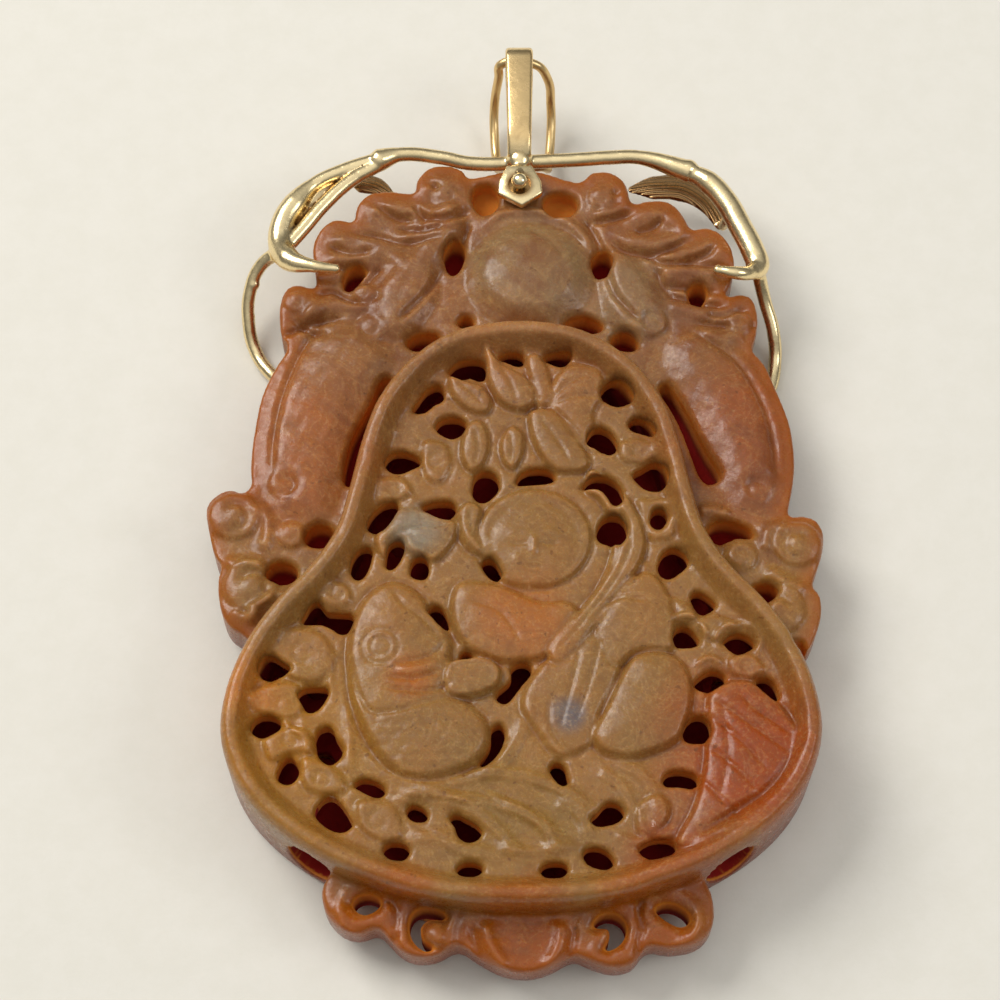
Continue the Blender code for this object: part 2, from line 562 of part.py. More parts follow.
def build_frame(parts, forms, cutters):
    """The gold frame in one piece, with the bezel plate, the bar and the bored knuckle."""
    frame, *others = lay_wires(parts, 0)
    for obj in others:
        parts.objects.unlink(obj)
        forms.objects.link(obj)
    foot, hinge = bar_foot(), hinge_place()
    across = Matrix.Translation(hinge) @ Matrix.Rotation(math.pi / 2, 4, "Y")

    knot = bmesh.new()
    bmesh.ops.create_uvsphere(knot, u_segments=10, v_segments=6, radius=KNOT_RADIUS)
    knot.transform(Matrix.Translation((foot.x, foot.y, BRANCH_HEIGHT + KNOT_RADIUS / 4)))
    from_bmesh("knot", knot, forms)

    front = BAR_BACK + BAR_THICKNESS
    side_line = [(foot.y, BAR_BACK), (hinge.y, BAR_BACK), (hinge.y, front),
                 (foot.y + BAR_THICKNESS, front), (foot.y, front - BAR_THICKNESS / 3)]
    bar = bmesh.new()
    face = bar.faces.new([bar.verts.new((hinge.x - BAR_WIDTH / 2, y, z)) for y, z in side_line])
    moved = bmesh.ops.extrude_face_region(bar, geom=[face])["geom"]
    bmesh.ops.translate(bar, vec=(BAR_WIDTH, 0, 0),
                        verts=[v for v in moved if isinstance(v, bmesh.types.BMVert)])
    bmesh.ops.recalc_face_normals(bar, faces=bar.faces)
    from_bmesh("bar", bar, forms)
    knuckle = 2 * KNUCKLE_RADIUS
    drum("knuckle", across @ Matrix.Diagonal((knuckle, knuckle, BAR_WIDTH, 1)), forms, 14)
    bore = 2 * (LOOP_RADIUS + HINGE_GAP)
    drum("bore", across @ Matrix.Diagonal((bore, bore, 2 * BAR_WIDTH, 1)), cutters)

    centre = plan(*BEZEL_PLACE, BEZEL_BACK)
    outline = [(centre.x + BEZEL_RADIUS * x, centre.y + BEZEL_RADIUS * y) for x, y in BEZEL_CORNERS]
    plate("bezel", outline, BEZEL_BACK, BEZEL_BACK + BEZEL_THICKNESS, forms)
    stalk = [(centre.x, centre.y + BEZEL_RADIUS / 2, BEZEL_BACK + BEZEL_THICKNESS / 2, BRANCH_RADIUS),
             (foot.x, foot.y, BRANCH_HEIGHT + KNOT_RADIUS / 4, BRANCH_RADIUS)]
    tube("bezel stalk", stalk, forms)
    seat = 2 * (BEAD_RADIUS + FRAME_GAP)
    rim = Matrix.Translation((centre.x, centre.y, BEZEL_BACK + BEZEL_THICKNESS))
    drum("seat", rim @ Matrix.Diagonal((seat, seat, 2 * BEAD_SEAT_DEPTH, 1)), cutters)

    frame.name = "gold_frame"
    return frame


def build_bead(parts):
    """The bead in the bezel, a gap above the floor of its seat."""
    floor = BEZEL_BACK + BEZEL_THICKNESS - BEAD_SEAT_DEPTH
    shape = bmesh.new()
    bmesh.ops.create_uvsphere(shape, u_segments=12, v_segments=8, radius=BEAD_RADIUS)
    shape.transform(Matrix.Translation(plan(*BEZEL_PLACE, floor + FRAME_GAP + BEAD_RADIUS)))
    return from_bmesh("bezel_bead", shape, parts)


def build_loop(parts):
    """The oval wire loop, with its straight top running through the knuckle."""
    hinge, foot = hinge_place(), bar_foot()
    half = [(x * LOOP_HALF_WIDTH, hinge.y - down * (hinge.y - foot.y), HINGE_HEIGHT - back * LOOP_DEPTH)
            for x, down, back in LOOP_HALF]
    half[0] = (BAR_WIDTH / 2 + LOOP_OFFSET, hinge.y, HINGE_HEIGHT)
    right = [(hinge.x + LOOP_OFFSET + x, y, z, LOOP_RADIUS) for x, y, z in half]
    left = [(hinge.x + LOOP_OFFSET - x, y, z, LOOP_RADIUS) for x, y, z in reversed(half)]
    left[-1] = (hinge.x - half[0][0], *half[0][1:], LOOP_RADIUS)
    loop = tube("loop", right + left, parts, closed=True)
    loop.name = "bail_loop"
    return loop


def box_of(objects):
    """The lowest and the highest corner of the finished objects."""
    corners = [obj.matrix_world @ v.co for obj in objects for v in obj.data.vertices]
    low = Vector(min(c[i] for c in corners) for i in range(3))
    high = Vector(max(c[i] for c in corners) for i in range(3))
    return low, high


def main():
    clear_scene()
    parts = collection("jade pendant")
    recess, jade_forms, jade_cutters, gold_forms, gold_cutters = (collection(name) for name in (
        "jade recess", "jade forms", "jade cutters", "gold forms", "gold cutters"))
    jade = build_jade(parts, recess, jade_forms)
    cut_jade(jade_cutters)
    lay_wires(jade_cutters, FRAME_GAP, "room for ")
    frame = build_frame(parts, gold_forms, gold_cutters)
    bead = build_bead(parts)
    loop = build_loop(parts)

    combine(jade, "DIFFERENCE", recess)
    combine(jade, "UNION", jade_forms)
    combine(jade, "DIFFERENCE", jade_cutters)
    combine(frame, "UNION", gold_forms)
    combine(frame, "DIFFERENCE", gold_cutters)
    for helpers in (recess, jade_forms, jade_cutters, gold_forms, gold_cutters):
        hide_helpers(helpers)
    finishes = {jade: "jade", frame: "gold", bead: "bead", loop: "gold"}
    for obj in finishes:
        apply_modifiers(obj)

    low, high = box_of(finishes)
    shift = Vector((-(low.x + high.x) / 2, -(low.y + high.y) / 2, -low.z))
    for obj, finish in finishes.items():
        obj.data.transform(Matrix.Translation(shift) @ obj.matrix_world)
        obj.matrix_world = Matrix.Identity(4)
        obj.data.materials.append(material(finish))
        obj.data.shade_smooth()
        obj.data.set_sharp_from_angle(angle=math.radians(40))
        triangles = sum(len(face.vertices) - 2 for face in obj.data.polygons)
        print(obj.name, triangles, "triangles")
    print("box in mm", [round(v / MM, 2) for v in high - low], "moved", [round(v / MM, 3) for v in shift])
    print("hinge in mm", [round(v / MM, 3) for v in hinge_place() + shift])


main()
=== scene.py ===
# %% [markdown]
# A jade pendant in a gold frame, lying on pale paper.
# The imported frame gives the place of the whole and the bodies. This file gives each piece its fine
# shape and its finish.

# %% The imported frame
import json
import math

import bpy
import numpy as np
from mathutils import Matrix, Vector


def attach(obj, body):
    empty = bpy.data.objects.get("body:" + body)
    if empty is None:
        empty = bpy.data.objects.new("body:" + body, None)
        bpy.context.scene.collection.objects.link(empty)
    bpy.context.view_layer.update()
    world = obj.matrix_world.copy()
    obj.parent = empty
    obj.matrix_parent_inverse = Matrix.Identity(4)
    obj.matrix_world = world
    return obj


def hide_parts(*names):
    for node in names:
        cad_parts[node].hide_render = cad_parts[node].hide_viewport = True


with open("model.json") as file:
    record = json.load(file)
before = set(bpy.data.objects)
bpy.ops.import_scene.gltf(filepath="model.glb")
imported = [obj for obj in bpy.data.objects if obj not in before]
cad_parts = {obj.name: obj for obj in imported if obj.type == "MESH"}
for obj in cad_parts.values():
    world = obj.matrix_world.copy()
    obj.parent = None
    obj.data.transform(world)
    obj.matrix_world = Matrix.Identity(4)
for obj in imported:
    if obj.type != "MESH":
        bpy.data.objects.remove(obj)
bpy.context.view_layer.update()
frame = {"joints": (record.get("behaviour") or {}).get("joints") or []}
MM = 0.001

# %% [markdown]
# The pendant was drawn with its own origin. The bail's hinge has a known place in that drawing, so
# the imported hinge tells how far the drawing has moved.

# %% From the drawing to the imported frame
HINGE = Vector(frame["joints"][0]["pos_m"])
DRAWN_HINGE = Vector((0.2, 43.1)) * MM
MOVED = Vector((HINGE.x - DRAWN_HINGE.x, HINGE.y - DRAWN_HINGE.y, 0))


def drawn(x, y, z=0.0):
    """A place of the drawing, in millimetres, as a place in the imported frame, in metres."""
    return Vector((x, y, z)) * MM + MOVED


print("the drawing moved by, in mm:", [round(v / MM, 3) for v in MOVED])

# %% [markdown]
# The camera stands about 240 mm from the panel, leaning 22 degrees from straight above, with a long
# lens. A place seen in the picture can then be put on the object: a ray is sent through the pixel
# and stopped at the height of the surface that carries the thing.

# %% The camera, and places read from the picture
VIEW_TILT = math.radians(22.0)
VIEW_DISTANCE = 238.0
LENS_MM, SENSOR_MM = 100.68, 36.0
PICTURE = 1000
EYE = drawn(-1.54, -VIEW_DISTANCE * math.sin(VIEW_TILT), 8.0 + VIEW_DISTANCE * math.cos(VIEW_TILT))

bpy.ops.object.select_all(action="DESELECT")
bpy.ops.object.camera_add(location=EYE, rotation=(VIEW_TILT, 0, 0))
camera = bpy.context.object
camera.data.lens = LENS_MM
camera.data.sensor_width = SENSOR_MM
camera.data.clip_start = 0.01
bpy.context.scene.camera = camera


def seen_at(u, v, height):
    """The place of the drawing, in millimetres, that a pixel shows at a height in millimetres."""
    focal = PICTURE * LENS_MM / SENSOR_MM
    right, up = (u - PICTURE / 2) / focal, (PICTURE / 2 - v) / focal
    ray = Vector((right, math.sin(VIEW_TILT) + up * math.cos(VIEW_TILT),
                  up * math.sin(VIEW_TILT) - math.cos(VIEW_TILT)))
    place = (EYE + ray * (height * MM - EYE.z) / ray.z - MOVED) / MM
    return place.x, place.y


def on_level(pixels, height):
    return [seen_at(u, v, height) for u, v in pixels]


print("picture centre is at", [round(v, 2) for v in seen_at(500, 500, 8.0)], "mm of the drawing")

# %% [markdown]
# Everything is made from a few helpers. A slab is a flat outline given a thickness and round edges,
# and an outline is a smooth closed curve through a few points.

# %% Helpers for modelling
def only(obj):
    """Selects this object alone."""
    bpy.ops.object.select_all(action="DESELECT")
    obj.select_set(True)
    bpy.context.view_layer.objects.active = obj
    return obj


def apply_modifier(obj, kind, **settings):
    only(obj)
    modifier = obj.modifiers.new(kind.lower(), kind)
    for key, value in settings.items():
        setattr(modifier, key, value)
    bpy.ops.object.modifier_apply(modifier=modifier.name)


def place_in_mesh(obj):
    """Puts the object's place, turn and size into its mesh."""
    only(obj)
    bpy.ops.object.transform_apply(location=True, rotation=True, scale=True)
    return obj


def curve_through(points, steps, closed=False):
    """A smooth line through the points, as an array with steps points between each two."""
    spots = np.array(points, float)
    count = len(spots)
    line = []
    for i in range(count if closed else count - 1):
        around = [(i + k) % count if closed else min(max(i + k, 0), count - 1) for k in (-1, 0, 1, 2)]
        a, b, c, d = spots[around]
        for step in range(steps):
            t = step / steps
            line.append(0.5 * (2 * b + (c - a) * t + (2 * a - 5 * b + 4 * c - d) * t ** 2
                               + (3 * b - a - 3 * c + d) * t ** 3))
    if not closed:
        line.append(spots[-1])
    return np.array(line)


def swept(places, push):
    """A solid from a flat ring of places that is pushed along, all in metres."""
    bpy.ops.object.select_all(action="DESELECT")
    bpy.ops.mesh.primitive_circle_add(vertices=len(places), fill_type="NGON")
    obj = bpy.context.object
    for vertex, place in zip(obj.data.vertices, places):
        vertex.co = place
    bpy.ops.object.mode_set(mode="EDIT")
    bpy.ops.mesh.select_all(action="SELECT")
    bpy.ops.mesh.extrude_region_move(TRANSFORM_OT_translate={"value": push})
    bpy.ops.mesh.select_all(action="SELECT")
    bpy.ops.mesh.normals_make_consistent(inside=False)
    bpy.ops.object.mode_set(mode="OBJECT")
    return obj


def round_edges(obj, width, segments, sharper_than=60):
    apply_modifier(obj, "BEVEL", width=width * MM, segments=segments, limit_method="ANGLE",
                   angle_limit=math.radians(sharper_than))


def melt(obj, cell, rounds):
    """Rebuilds the surface from cells of a size in millimetres, and smooths it."""
    apply_modifier(obj, "REMESH", mode="VOXEL", voxel_size=cell * MM)
    apply_modifier(obj, "SMOOTH", factor=0.5, iterations=rounds)


def slab(outline, bottom, top, roundness=0.0, segments=3):
    """A closed plate from an outline in millimetres, between two heights in millimetres."""
    obj = swept([drawn(x, y, bottom) for x, y in outline], (0, 0, (top - bottom) * MM))
    if roundness:
        round_edges(obj, roundness, segments)
    return obj


def ellipse(x, y, length, width, turn, sides=20):
    """An oval outline in millimetres, turned by degrees."""
    a = np.linspace(0, 2 * math.pi, sides, endpoint=False)
    c, s = math.cos(math.radians(turn)), math.sin(math.radians(turn))
    u, v = length / 2 * np.cos(a), width / 2 * np.sin(a)
    return np.stack([x + c * u - s * v, y + s * u + c * v], axis=1)


def moved_in(outline, inset):
    """The clockwise outline moved inwards along its own normals."""
    along = np.roll(outline, -1, axis=0) - np.roll(outline, 1, axis=0)
    inwards = np.stack([along[:, 1], -along[:, 0]], axis=1)
    return outline + inset * inwards / np.linalg.norm(inwards, axis=1, keepdims=True)


def boolean(target, operation, others):
    """A Boolean of the target with all the other objects at once, which are then removed."""
    helpers = bpy.data.collections.new(operation.lower())
    bpy.context.scene.collection.children.link(helpers)
    for other in others:
        for owner in list(other.users_collection):
            owner.objects.unlink(other)
        helpers.objects.link(other)
    apply_modifier(target, "BOOLEAN", operation=operation, operand_type="COLLECTION",
                   collection=helpers, solver="EXACT")
    for other in others:
        bpy.data.objects.remove(other, do_unlink=True)
    bpy.data.collections.remove(helpers)


# %% [markdown]
# The carving was sawn from one lump of jade, so its plan comes first: the gourd with its waist, the
# plate that carries the dragons, and the frill below. The gourd's half is drawn in millimetres. The
# edges of the other two are read from the picture, one point where the edge turns.

# %% The plan of the jade
GOURD_HALF = [
    (0.0, 16.3), (5.4, 15.4), (9.4, 12.8), (12.2, 9.0), (13.6, 5.0), (14.5, 1.0), (15.6, -3.0),
    (17.7, -6.4), (20.4, -9.4), (22.7, -12.8), (24.3, -17.0), (24.7, -21.0), (23.5, -24.8),
    (21.0, -28.1), (17.2, -31.0), (12.6, -33.2), (6.8, -34.9), (0.0, -35.4),
]
MIDDLE_X = 0.2
LEFT_SCROLLS = [
    (300, 640), (262, 648), (241, 635), (231, 629), (223, 617), (219, 598), (219, 580), (222, 568),
    (215, 557), (209, 531), (207, 511), (215, 499), (230, 492), (244, 495), (252, 486),
]
LEFT_DRAGON_EDGE = [
    (251, 470), (254, 440), (262, 400), (275, 372), (288, 350), (282, 338), (280, 323), (281, 305),
    (287, 292), (298, 287), (315, 291), (316, 279), (313, 253), (316, 241), (324, 229), (337, 222),
    (354, 224), (357, 210), (369, 197), (392, 194), (414, 196), (417, 184), (427, 172), (444, 168),
    (462, 173), (470, 181),
]
RIGHT_DRAGON_EDGE = [
    (500, 175), (520, 173), (542, 175), (577, 185), (591, 176), (604, 174), (616, 178), (626, 188),
    (631, 206), (645, 204), (662, 203), (674, 208), (683, 219), (691, 232), (706, 230), (720, 236),
    (730, 249), (734, 268), (730, 287), (724, 299), (740, 297), (752, 302), (757, 318), (756, 336),
    (752, 353), (764, 367), (779, 400), (790, 430), (794, 465), (792, 490), (788, 517),
]
RIGHT_SCROLLS = [
    (802, 518), (816, 523), (823, 537), (821, 558), (812, 586), (819, 597), (821, 615), (815, 637),
    (803, 655), (770, 660), (720, 600), (620, 420), (520, 400), (420, 430), (360, 560),
]
FRILL_EDGE = [
    (350, 860), (332, 882), (326, 896), (325, 911), (331, 928), (345, 942), (362, 946), (380, 941),
    (391, 951), (405, 964), (422, 969), (440, 966), (459, 957), (480, 969), (501, 980), (525, 984),
    (548, 979), (572, 967), (589, 973), (610, 979), (630, 975), (645, 958), (665, 960), (685, 958),
    (701, 950), (710, 934), (709, 912), (703, 896), (680, 862), (600, 840), (440, 840),
]
EDGE_LEVEL, FRILL_LEVEL = 6.0, 1.3
PANEL_TOP, PANEL_WALL, BACK_WALL, SIDE_WALL = 8.8, 2.4, 1.9, 1.9
RIM_WIDTH, RIM_RISE = 2.0, 1.4
SURROUND_BACK, SURROUND_TOP = 1.7, 6.9
FRILL_BACK, FRILL_TOP = 1.9, 6.2

gourd_points = GOURD_HALF + [(-x, y) for x, y in reversed(GOURD_HALF[1:-1])]
GOURD = curve_through([(x + MIDDLE_X, y) for x, y in gourd_points], 5, True)
SURROUND = curve_through(on_level(LEFT_SCROLLS + LEFT_DRAGON_EDGE + RIGHT_DRAGON_EDGE + RIGHT_SCROLLS,
                                  EDGE_LEVEL), 3, True)
FRILL = curve_through(on_level(FRILL_EDGE, FRILL_LEVEL), 3, True)
for name, line in (("surround", SURROUND), ("frill", FRILL)):
    print(name, "spans from", line.min(axis=0).round(2), "to", line.max(axis=0).round(2), "mm")

# %% [markdown]
# Holes were started with a drill and drawn out with a wire saw between the figures, so no two are
# alike. Each is outlined by the few points where its edge turns.

# %% Holes of the panel, by row from the top
HOLES = [
    [(447, 372), (457, 360), (471, 357), (485, 360), (485, 378), (478, 380), (470, 377), (461, 378)],
    [(411, 411), (418, 399), (427, 387), (441, 383), (444, 399), (434, 404), (424, 412)],
    [(435, 428), (440, 418), (453, 415), (466, 420), (464, 430), (456, 437), (447, 437)],
    [(541, 356), (556, 350), (572, 351), (570, 360), (562, 366), (553, 364)],
    [(496, 356), (508, 350), (522, 352), (524, 362), (519, 366), (508, 362)],
    [(600, 394), (605, 383), (616, 378), (629, 386), (635, 398), (628, 403), (617, 406), (607, 402)],
    [(586, 438), (594, 426), (607, 428), (617, 440), (616, 450), (609, 454), (598, 449), (588, 446)],
    [(628, 424), (635, 416), (648, 420), (656, 431), (656, 440), (646, 434), (634, 431)],
    [(632, 473), (644, 466), (656, 460), (668, 470), (668, 484), (660, 490), (646, 489), (638, 482)],
    [(384, 462), (390, 452), (404, 450), (419, 456), (420, 464), (410, 469), (400, 473), (390, 471)],
    [(472, 490), (475, 474), (486, 469), (497, 475), (499, 488), (492, 497), (484, 502), (475, 499)],
    [(516, 481), (521, 471), (536, 467), (551, 469), (555, 480), (544, 483), (530, 484), (518, 485)],
    [(582, 487), (590, 476), (606, 475), (619, 484), (624, 498), (619, 507), (612, 506), (606, 497),
     (598, 491), (588, 491)],
    [(419, 506), (436, 500), (453, 501), (456, 510), (450, 518), (440, 518), (430, 512)],
    [(366, 526), (372, 512), (384, 502), (397, 501), (397, 512), (390, 524), (382, 532), (372, 532)],
    [(597, 538), (598, 525), (606, 515), (619, 515), (627, 525), (626, 540), (619, 546), (604, 543)],
    [(650, 520), (654, 508), (664, 508), (668, 518), (661, 530), (653, 528)],
    [(386, 560), (388, 545), (397, 539), (405, 543), (402, 556), (396, 566), (390, 569), (385, 566)],
    [(410, 574), (411, 562), (417, 555), (426, 557), (429, 567), (426, 578), (416, 578)],
    [(481, 563), (487, 557), (494, 559), (499, 567), (503, 576), (497, 580), (489, 577)],
    [(350, 572), (352, 557), (361, 546), (372, 547), (371, 560), (366, 573), (358, 580)],
    [(658, 568), (662, 553), (673, 546), (685, 552), (689, 562), (680, 572), (670, 578), (662, 576)],
    [(690, 597), (697, 590), (709, 596), (717, 605), (708, 612), (699, 613)],
    [(300, 622), (305, 612), (311, 602), (319, 600), (327, 611), (350, 612), (354, 619), (349, 630),
     (341, 634), (332, 628), (322, 624), (310, 624)],
    [(426, 611), (434, 604), (443, 608), (448, 619), (449, 630), (440, 626), (432, 618)],
    [(673, 635), (678, 626), (689, 626), (699, 639), (698, 645), (684, 647), (675, 645)],
    [(723, 642), (730, 634), (742, 632), (754, 640), (755, 646), (744, 652), (735, 653)],
    [(257, 670), (262, 658), (270, 654), (280, 660), (292, 668), (284, 674), (272, 680), (262, 678)],
    [(458, 656), (466, 650), (474, 656), (470, 661), (462, 661)],
    [(510, 668), (520, 661), (530, 664), (531, 673), (522, 684), (514, 695), (506, 703), (497, 700),
     (497, 691), (506, 684), (512, 676)],
    [(693, 684), (702, 674), (712, 669), (723, 672), (726, 680), (716, 688), (706, 692)],
    [(755, 681), (764, 676), (774, 681), (780, 697), (772, 698)],
    [(297, 694), (304, 687), (328, 687), (326, 698), (318, 709), (308, 712), (302, 704)],
    [(250, 730), (254, 718), (268, 714), (280, 720), (280, 728), (270, 735), (258, 737)],
    [(683, 733), (688, 720), (698, 714), (708, 719), (711, 732), (706, 741), (696, 743), (686, 741)],
    [(315, 736), (320, 727), (331, 726), (336, 737), (343, 750), (338, 760), (328, 764), (318, 756),
     (316, 746)],
    [(491, 728), (500, 723), (505, 732), (502, 746), (494, 758), (484, 766), (475, 768), (484, 756),
     (491, 743)],
    [(276, 776), (280, 764), (288, 755), (296, 762), (299, 772), (294, 781), (286, 784), (279, 781)],
    [(549, 768), (556, 761), (565, 766), (567, 776), (569, 782), (562, 786), (555, 779)],
    [(663, 780), (668, 771), (684, 770), (697, 775), (698, 784), (691, 788), (678, 786), (666, 786)],
    [(352, 785), (360, 778), (372, 779), (384, 786), (385, 793), (379, 797), (368, 794), (357, 788)],
    [(314, 814), (320, 801), (330, 795), (340, 802), (349, 816), (352, 826), (340, 832), (325, 826)],
    [(406, 812), (410, 804), (421, 806), (428, 814), (425, 821), (412, 820)],
    [(590, 818), (598, 812), (606, 802), (618, 803), (625, 812), (619, 821), (606, 825), (595, 825)],
    [(449, 818), (456, 813), (464, 817), (474, 822), (482, 830), (479, 838), (468, 842), (458, 836),
     (455, 826)],
    [(638, 849), (650, 840), (667, 838), (677, 844), (672, 855), (650, 859)],
    [(382, 848), (390, 842), (404, 843), (410, 851), (403, 860), (388, 858)],
    [(583, 852), (592, 846), (607, 850), (615, 862), (606, 869), (588, 864)],
    [(456, 868), (464, 862), (478, 863), (484, 870), (474, 876), (460, 875)],
    [(540, 870), (546, 863), (562, 862), (569, 868), (562, 877), (546, 877)],
]
HOLE_LEVEL = 8.4

# %% Pockets beside the dragons and scrolls, and the rings of the frill
SLOTS = [
    [(386, 372), (394, 377), (389, 392), (379, 406), (372, 422), (364, 442), (357, 466), (350, 482),
     (343, 477), (345, 455), (352, 432), (362, 413), (372, 395), (378, 379)],
    [(659, 384), (667, 378), (678, 391), (690, 411), (700, 432), (710, 450), (721, 467), (719, 476),
     (709, 480), (700, 471), (694, 456), (688, 440), (680, 420), (670, 402)],
    [(406, 336), (418, 328), (436, 328), (440, 335), (430, 341), (418, 346), (408, 343)],
    [(457, 319), (462, 311), (471, 312), (474, 319), (464, 323)],
    [(563, 322), (568, 314), (584, 310), (600, 316), (604, 324), (594, 328), (578, 326)],
    [(610, 334), (622, 326), (636, 332), (638, 344), (626, 346), (614, 342)],
    [(443, 248), (449, 237), (459, 235), (465, 245), (463, 258), (457, 268), (450, 270), (445, 260)],
    [(591, 258), (596, 248), (606, 245), (613, 252), (612, 264), (604, 274), (596, 272)],
    [(342, 276), (346, 264), (357, 259), (366, 266), (360, 276), (352, 285), (344, 285)],
    [(688, 288), (694, 279), (704, 279), (708, 289), (701, 300), (693, 297)],
    [(303, 536), (308, 524), (320, 520), (332, 524), (333, 536), (322, 543), (310, 542)],
    [(264, 572), (270, 560), (282, 557), (295, 563), (296, 573), (286, 580), (273, 579)],
    [(708, 524), (718, 516), (736, 517), (751, 524), (754, 534), (738, 533), (722, 540), (713, 536)],
    [(751, 588), (757, 580), (770, 579), (780, 586), (776, 594), (764, 601), (756, 596)],
    [(790, 646), (794, 638), (805, 639), (806, 650), (798, 657)],
]
DIPS = [
    [(472, 194), (476, 182), (488, 179), (498, 186), (498, 200), (490, 209), (478, 208)],
    [(543, 198), (548, 190), (562, 188), (576, 194), (576, 206), (562, 213), (548, 210)],
]
RINGS = [
    [(352, 903), (358, 895), (368, 893), (379, 897), (380, 904), (371, 911), (360, 912)],
    [(409, 922), (414, 910), (428, 906), (443, 911), (446, 918), (430, 917), (420, 926), (424, 940),
     (436, 946), (424, 949), (412, 938)],
    [(592, 926), (600, 914), (614, 912), (625, 920), (626, 934), (616, 946), (604, 948), (610, 936),
     (608, 926)],
    [(655, 908), (664, 902), (677, 903), (689, 912), (690, 921), (680, 925), (666, 918)],
]
SLOT_LEVEL, RING_LEVEL = 7.4, 6.4


def outlines_of(shapes, level):
    return [curve_through(on_level(shape, level), 2, True) for shape in shapes]


hole_lines = outlines_of(HOLES, HOLE_LEVEL)
slot_lines = outlines_of(SLOTS, SLOT_LEVEL)
dip_lines = outlines_of(DIPS, SLOT_LEVEL)
ring_lines = outlines_of(RINGS, RING_LEVEL)
print(len(hole_lines), "holes,", len(slot_lines) + len(dip_lines), "pockets,", len(ring_lines), "rings")

# %% [markdown]
# The gourd was hollowed through its holes, which leaves walls about 2 mm thick. First the blank is
# made of slabs, then everything is cut through it, and then its surface is rebuilt from small cells
# and smoothed, which rounds every edge as polishing did.

# %% The blank, cut
HOLE_FLOOR, POCKET_FLOOR, DIP_FLOOR, BACK_HOLE_TOP = 4.0, 2.9, 4.8, 4.2
CLEAR_ABOVE, CLEAR_BELOW = 13.0, -1.0
BACK_RINGS = [(0.72, 14), (0.36, 7)]
BACK_HOLE = 2.0
SIDE_OPENINGS = [(-17.2, -31.0, 233), (17.6, -31.0, 307)]
SIDE_OPENING_TALL, SIDE_OPENING_WIDE, SIDE_OPENING_DEEP = 6.4, 4.7, 4.6
jade = slab(GOURD, 0, PANEL_TOP, 0.3)
jade.name = "jade_carving_carved"
boolean(jade, "UNION", [slab(SURROUND, SURROUND_BACK, SURROUND_TOP, 0.5, 2),
                        slab(FRILL, FRILL_BACK, FRILL_TOP, 0.5, 2)])
cutters = [slab(moved_in(GOURD, SIDE_WALL), BACK_WALL, PANEL_TOP - PANEL_WALL)]
for lines, floor_height in ((hole_lines, HOLE_FLOOR), (slot_lines, POCKET_FLOOR),
                            (dip_lines, DIP_FLOOR), (ring_lines, CLEAR_BELOW)):
    cutters += [slab(line, floor_height, CLEAR_ABOVE) for line in lines]
middle = GOURD.mean(axis=0)
for share, count in BACK_RINGS:
    for i in range(count):
        edge = GOURD[round(i * len(GOURD) / count) % len(GOURD)]
        spot = middle + (edge - middle) * share
        cutters.append(slab(ellipse(*spot, BACK_HOLE, BACK_HOLE, 0, 14), CLEAR_BELOW, BACK_HOLE_TOP))
for x, y, facing in SIDE_OPENINGS:
    bpy.ops.object.select_all(action="DESELECT")
    bpy.ops.mesh.primitive_cylinder_add(vertices=28, radius=0.5, depth=SIDE_OPENING_DEEP * MM,
                                        location=drawn(x, y, PANEL_TOP / 2),
                                        rotation=(0, math.pi / 2, math.radians(facing)))
    opening = bpy.context.object
    opening.scale = (SIDE_OPENING_TALL * MM, SIDE_OPENING_WIDE * MM, 1)
    cutters.append(place_in_mesh(opening))
boolean(jade, "DIFFERENCE", cutters)
print("cut blank has", len(jade.data.polygons), "faces")

# %% Polished all over
melt(jade, 0.21, 5)
print("polished blank has", len(jade.data.vertices), "points")

# %% [markdown]
# The carver worked the front with small wheels. The relief is made the same way, as a height over
# the blank: a form is an outline that lies over what was there before, with a soft shoulder and a
# crowned middle; a line is a groove or a ridge; a curl is a small scroll with a spiral cut.

# %% Tools of the carver
def ease(t):
    t = np.clip(t, 0, 1)
    return t * t * (3 - 2 * t)


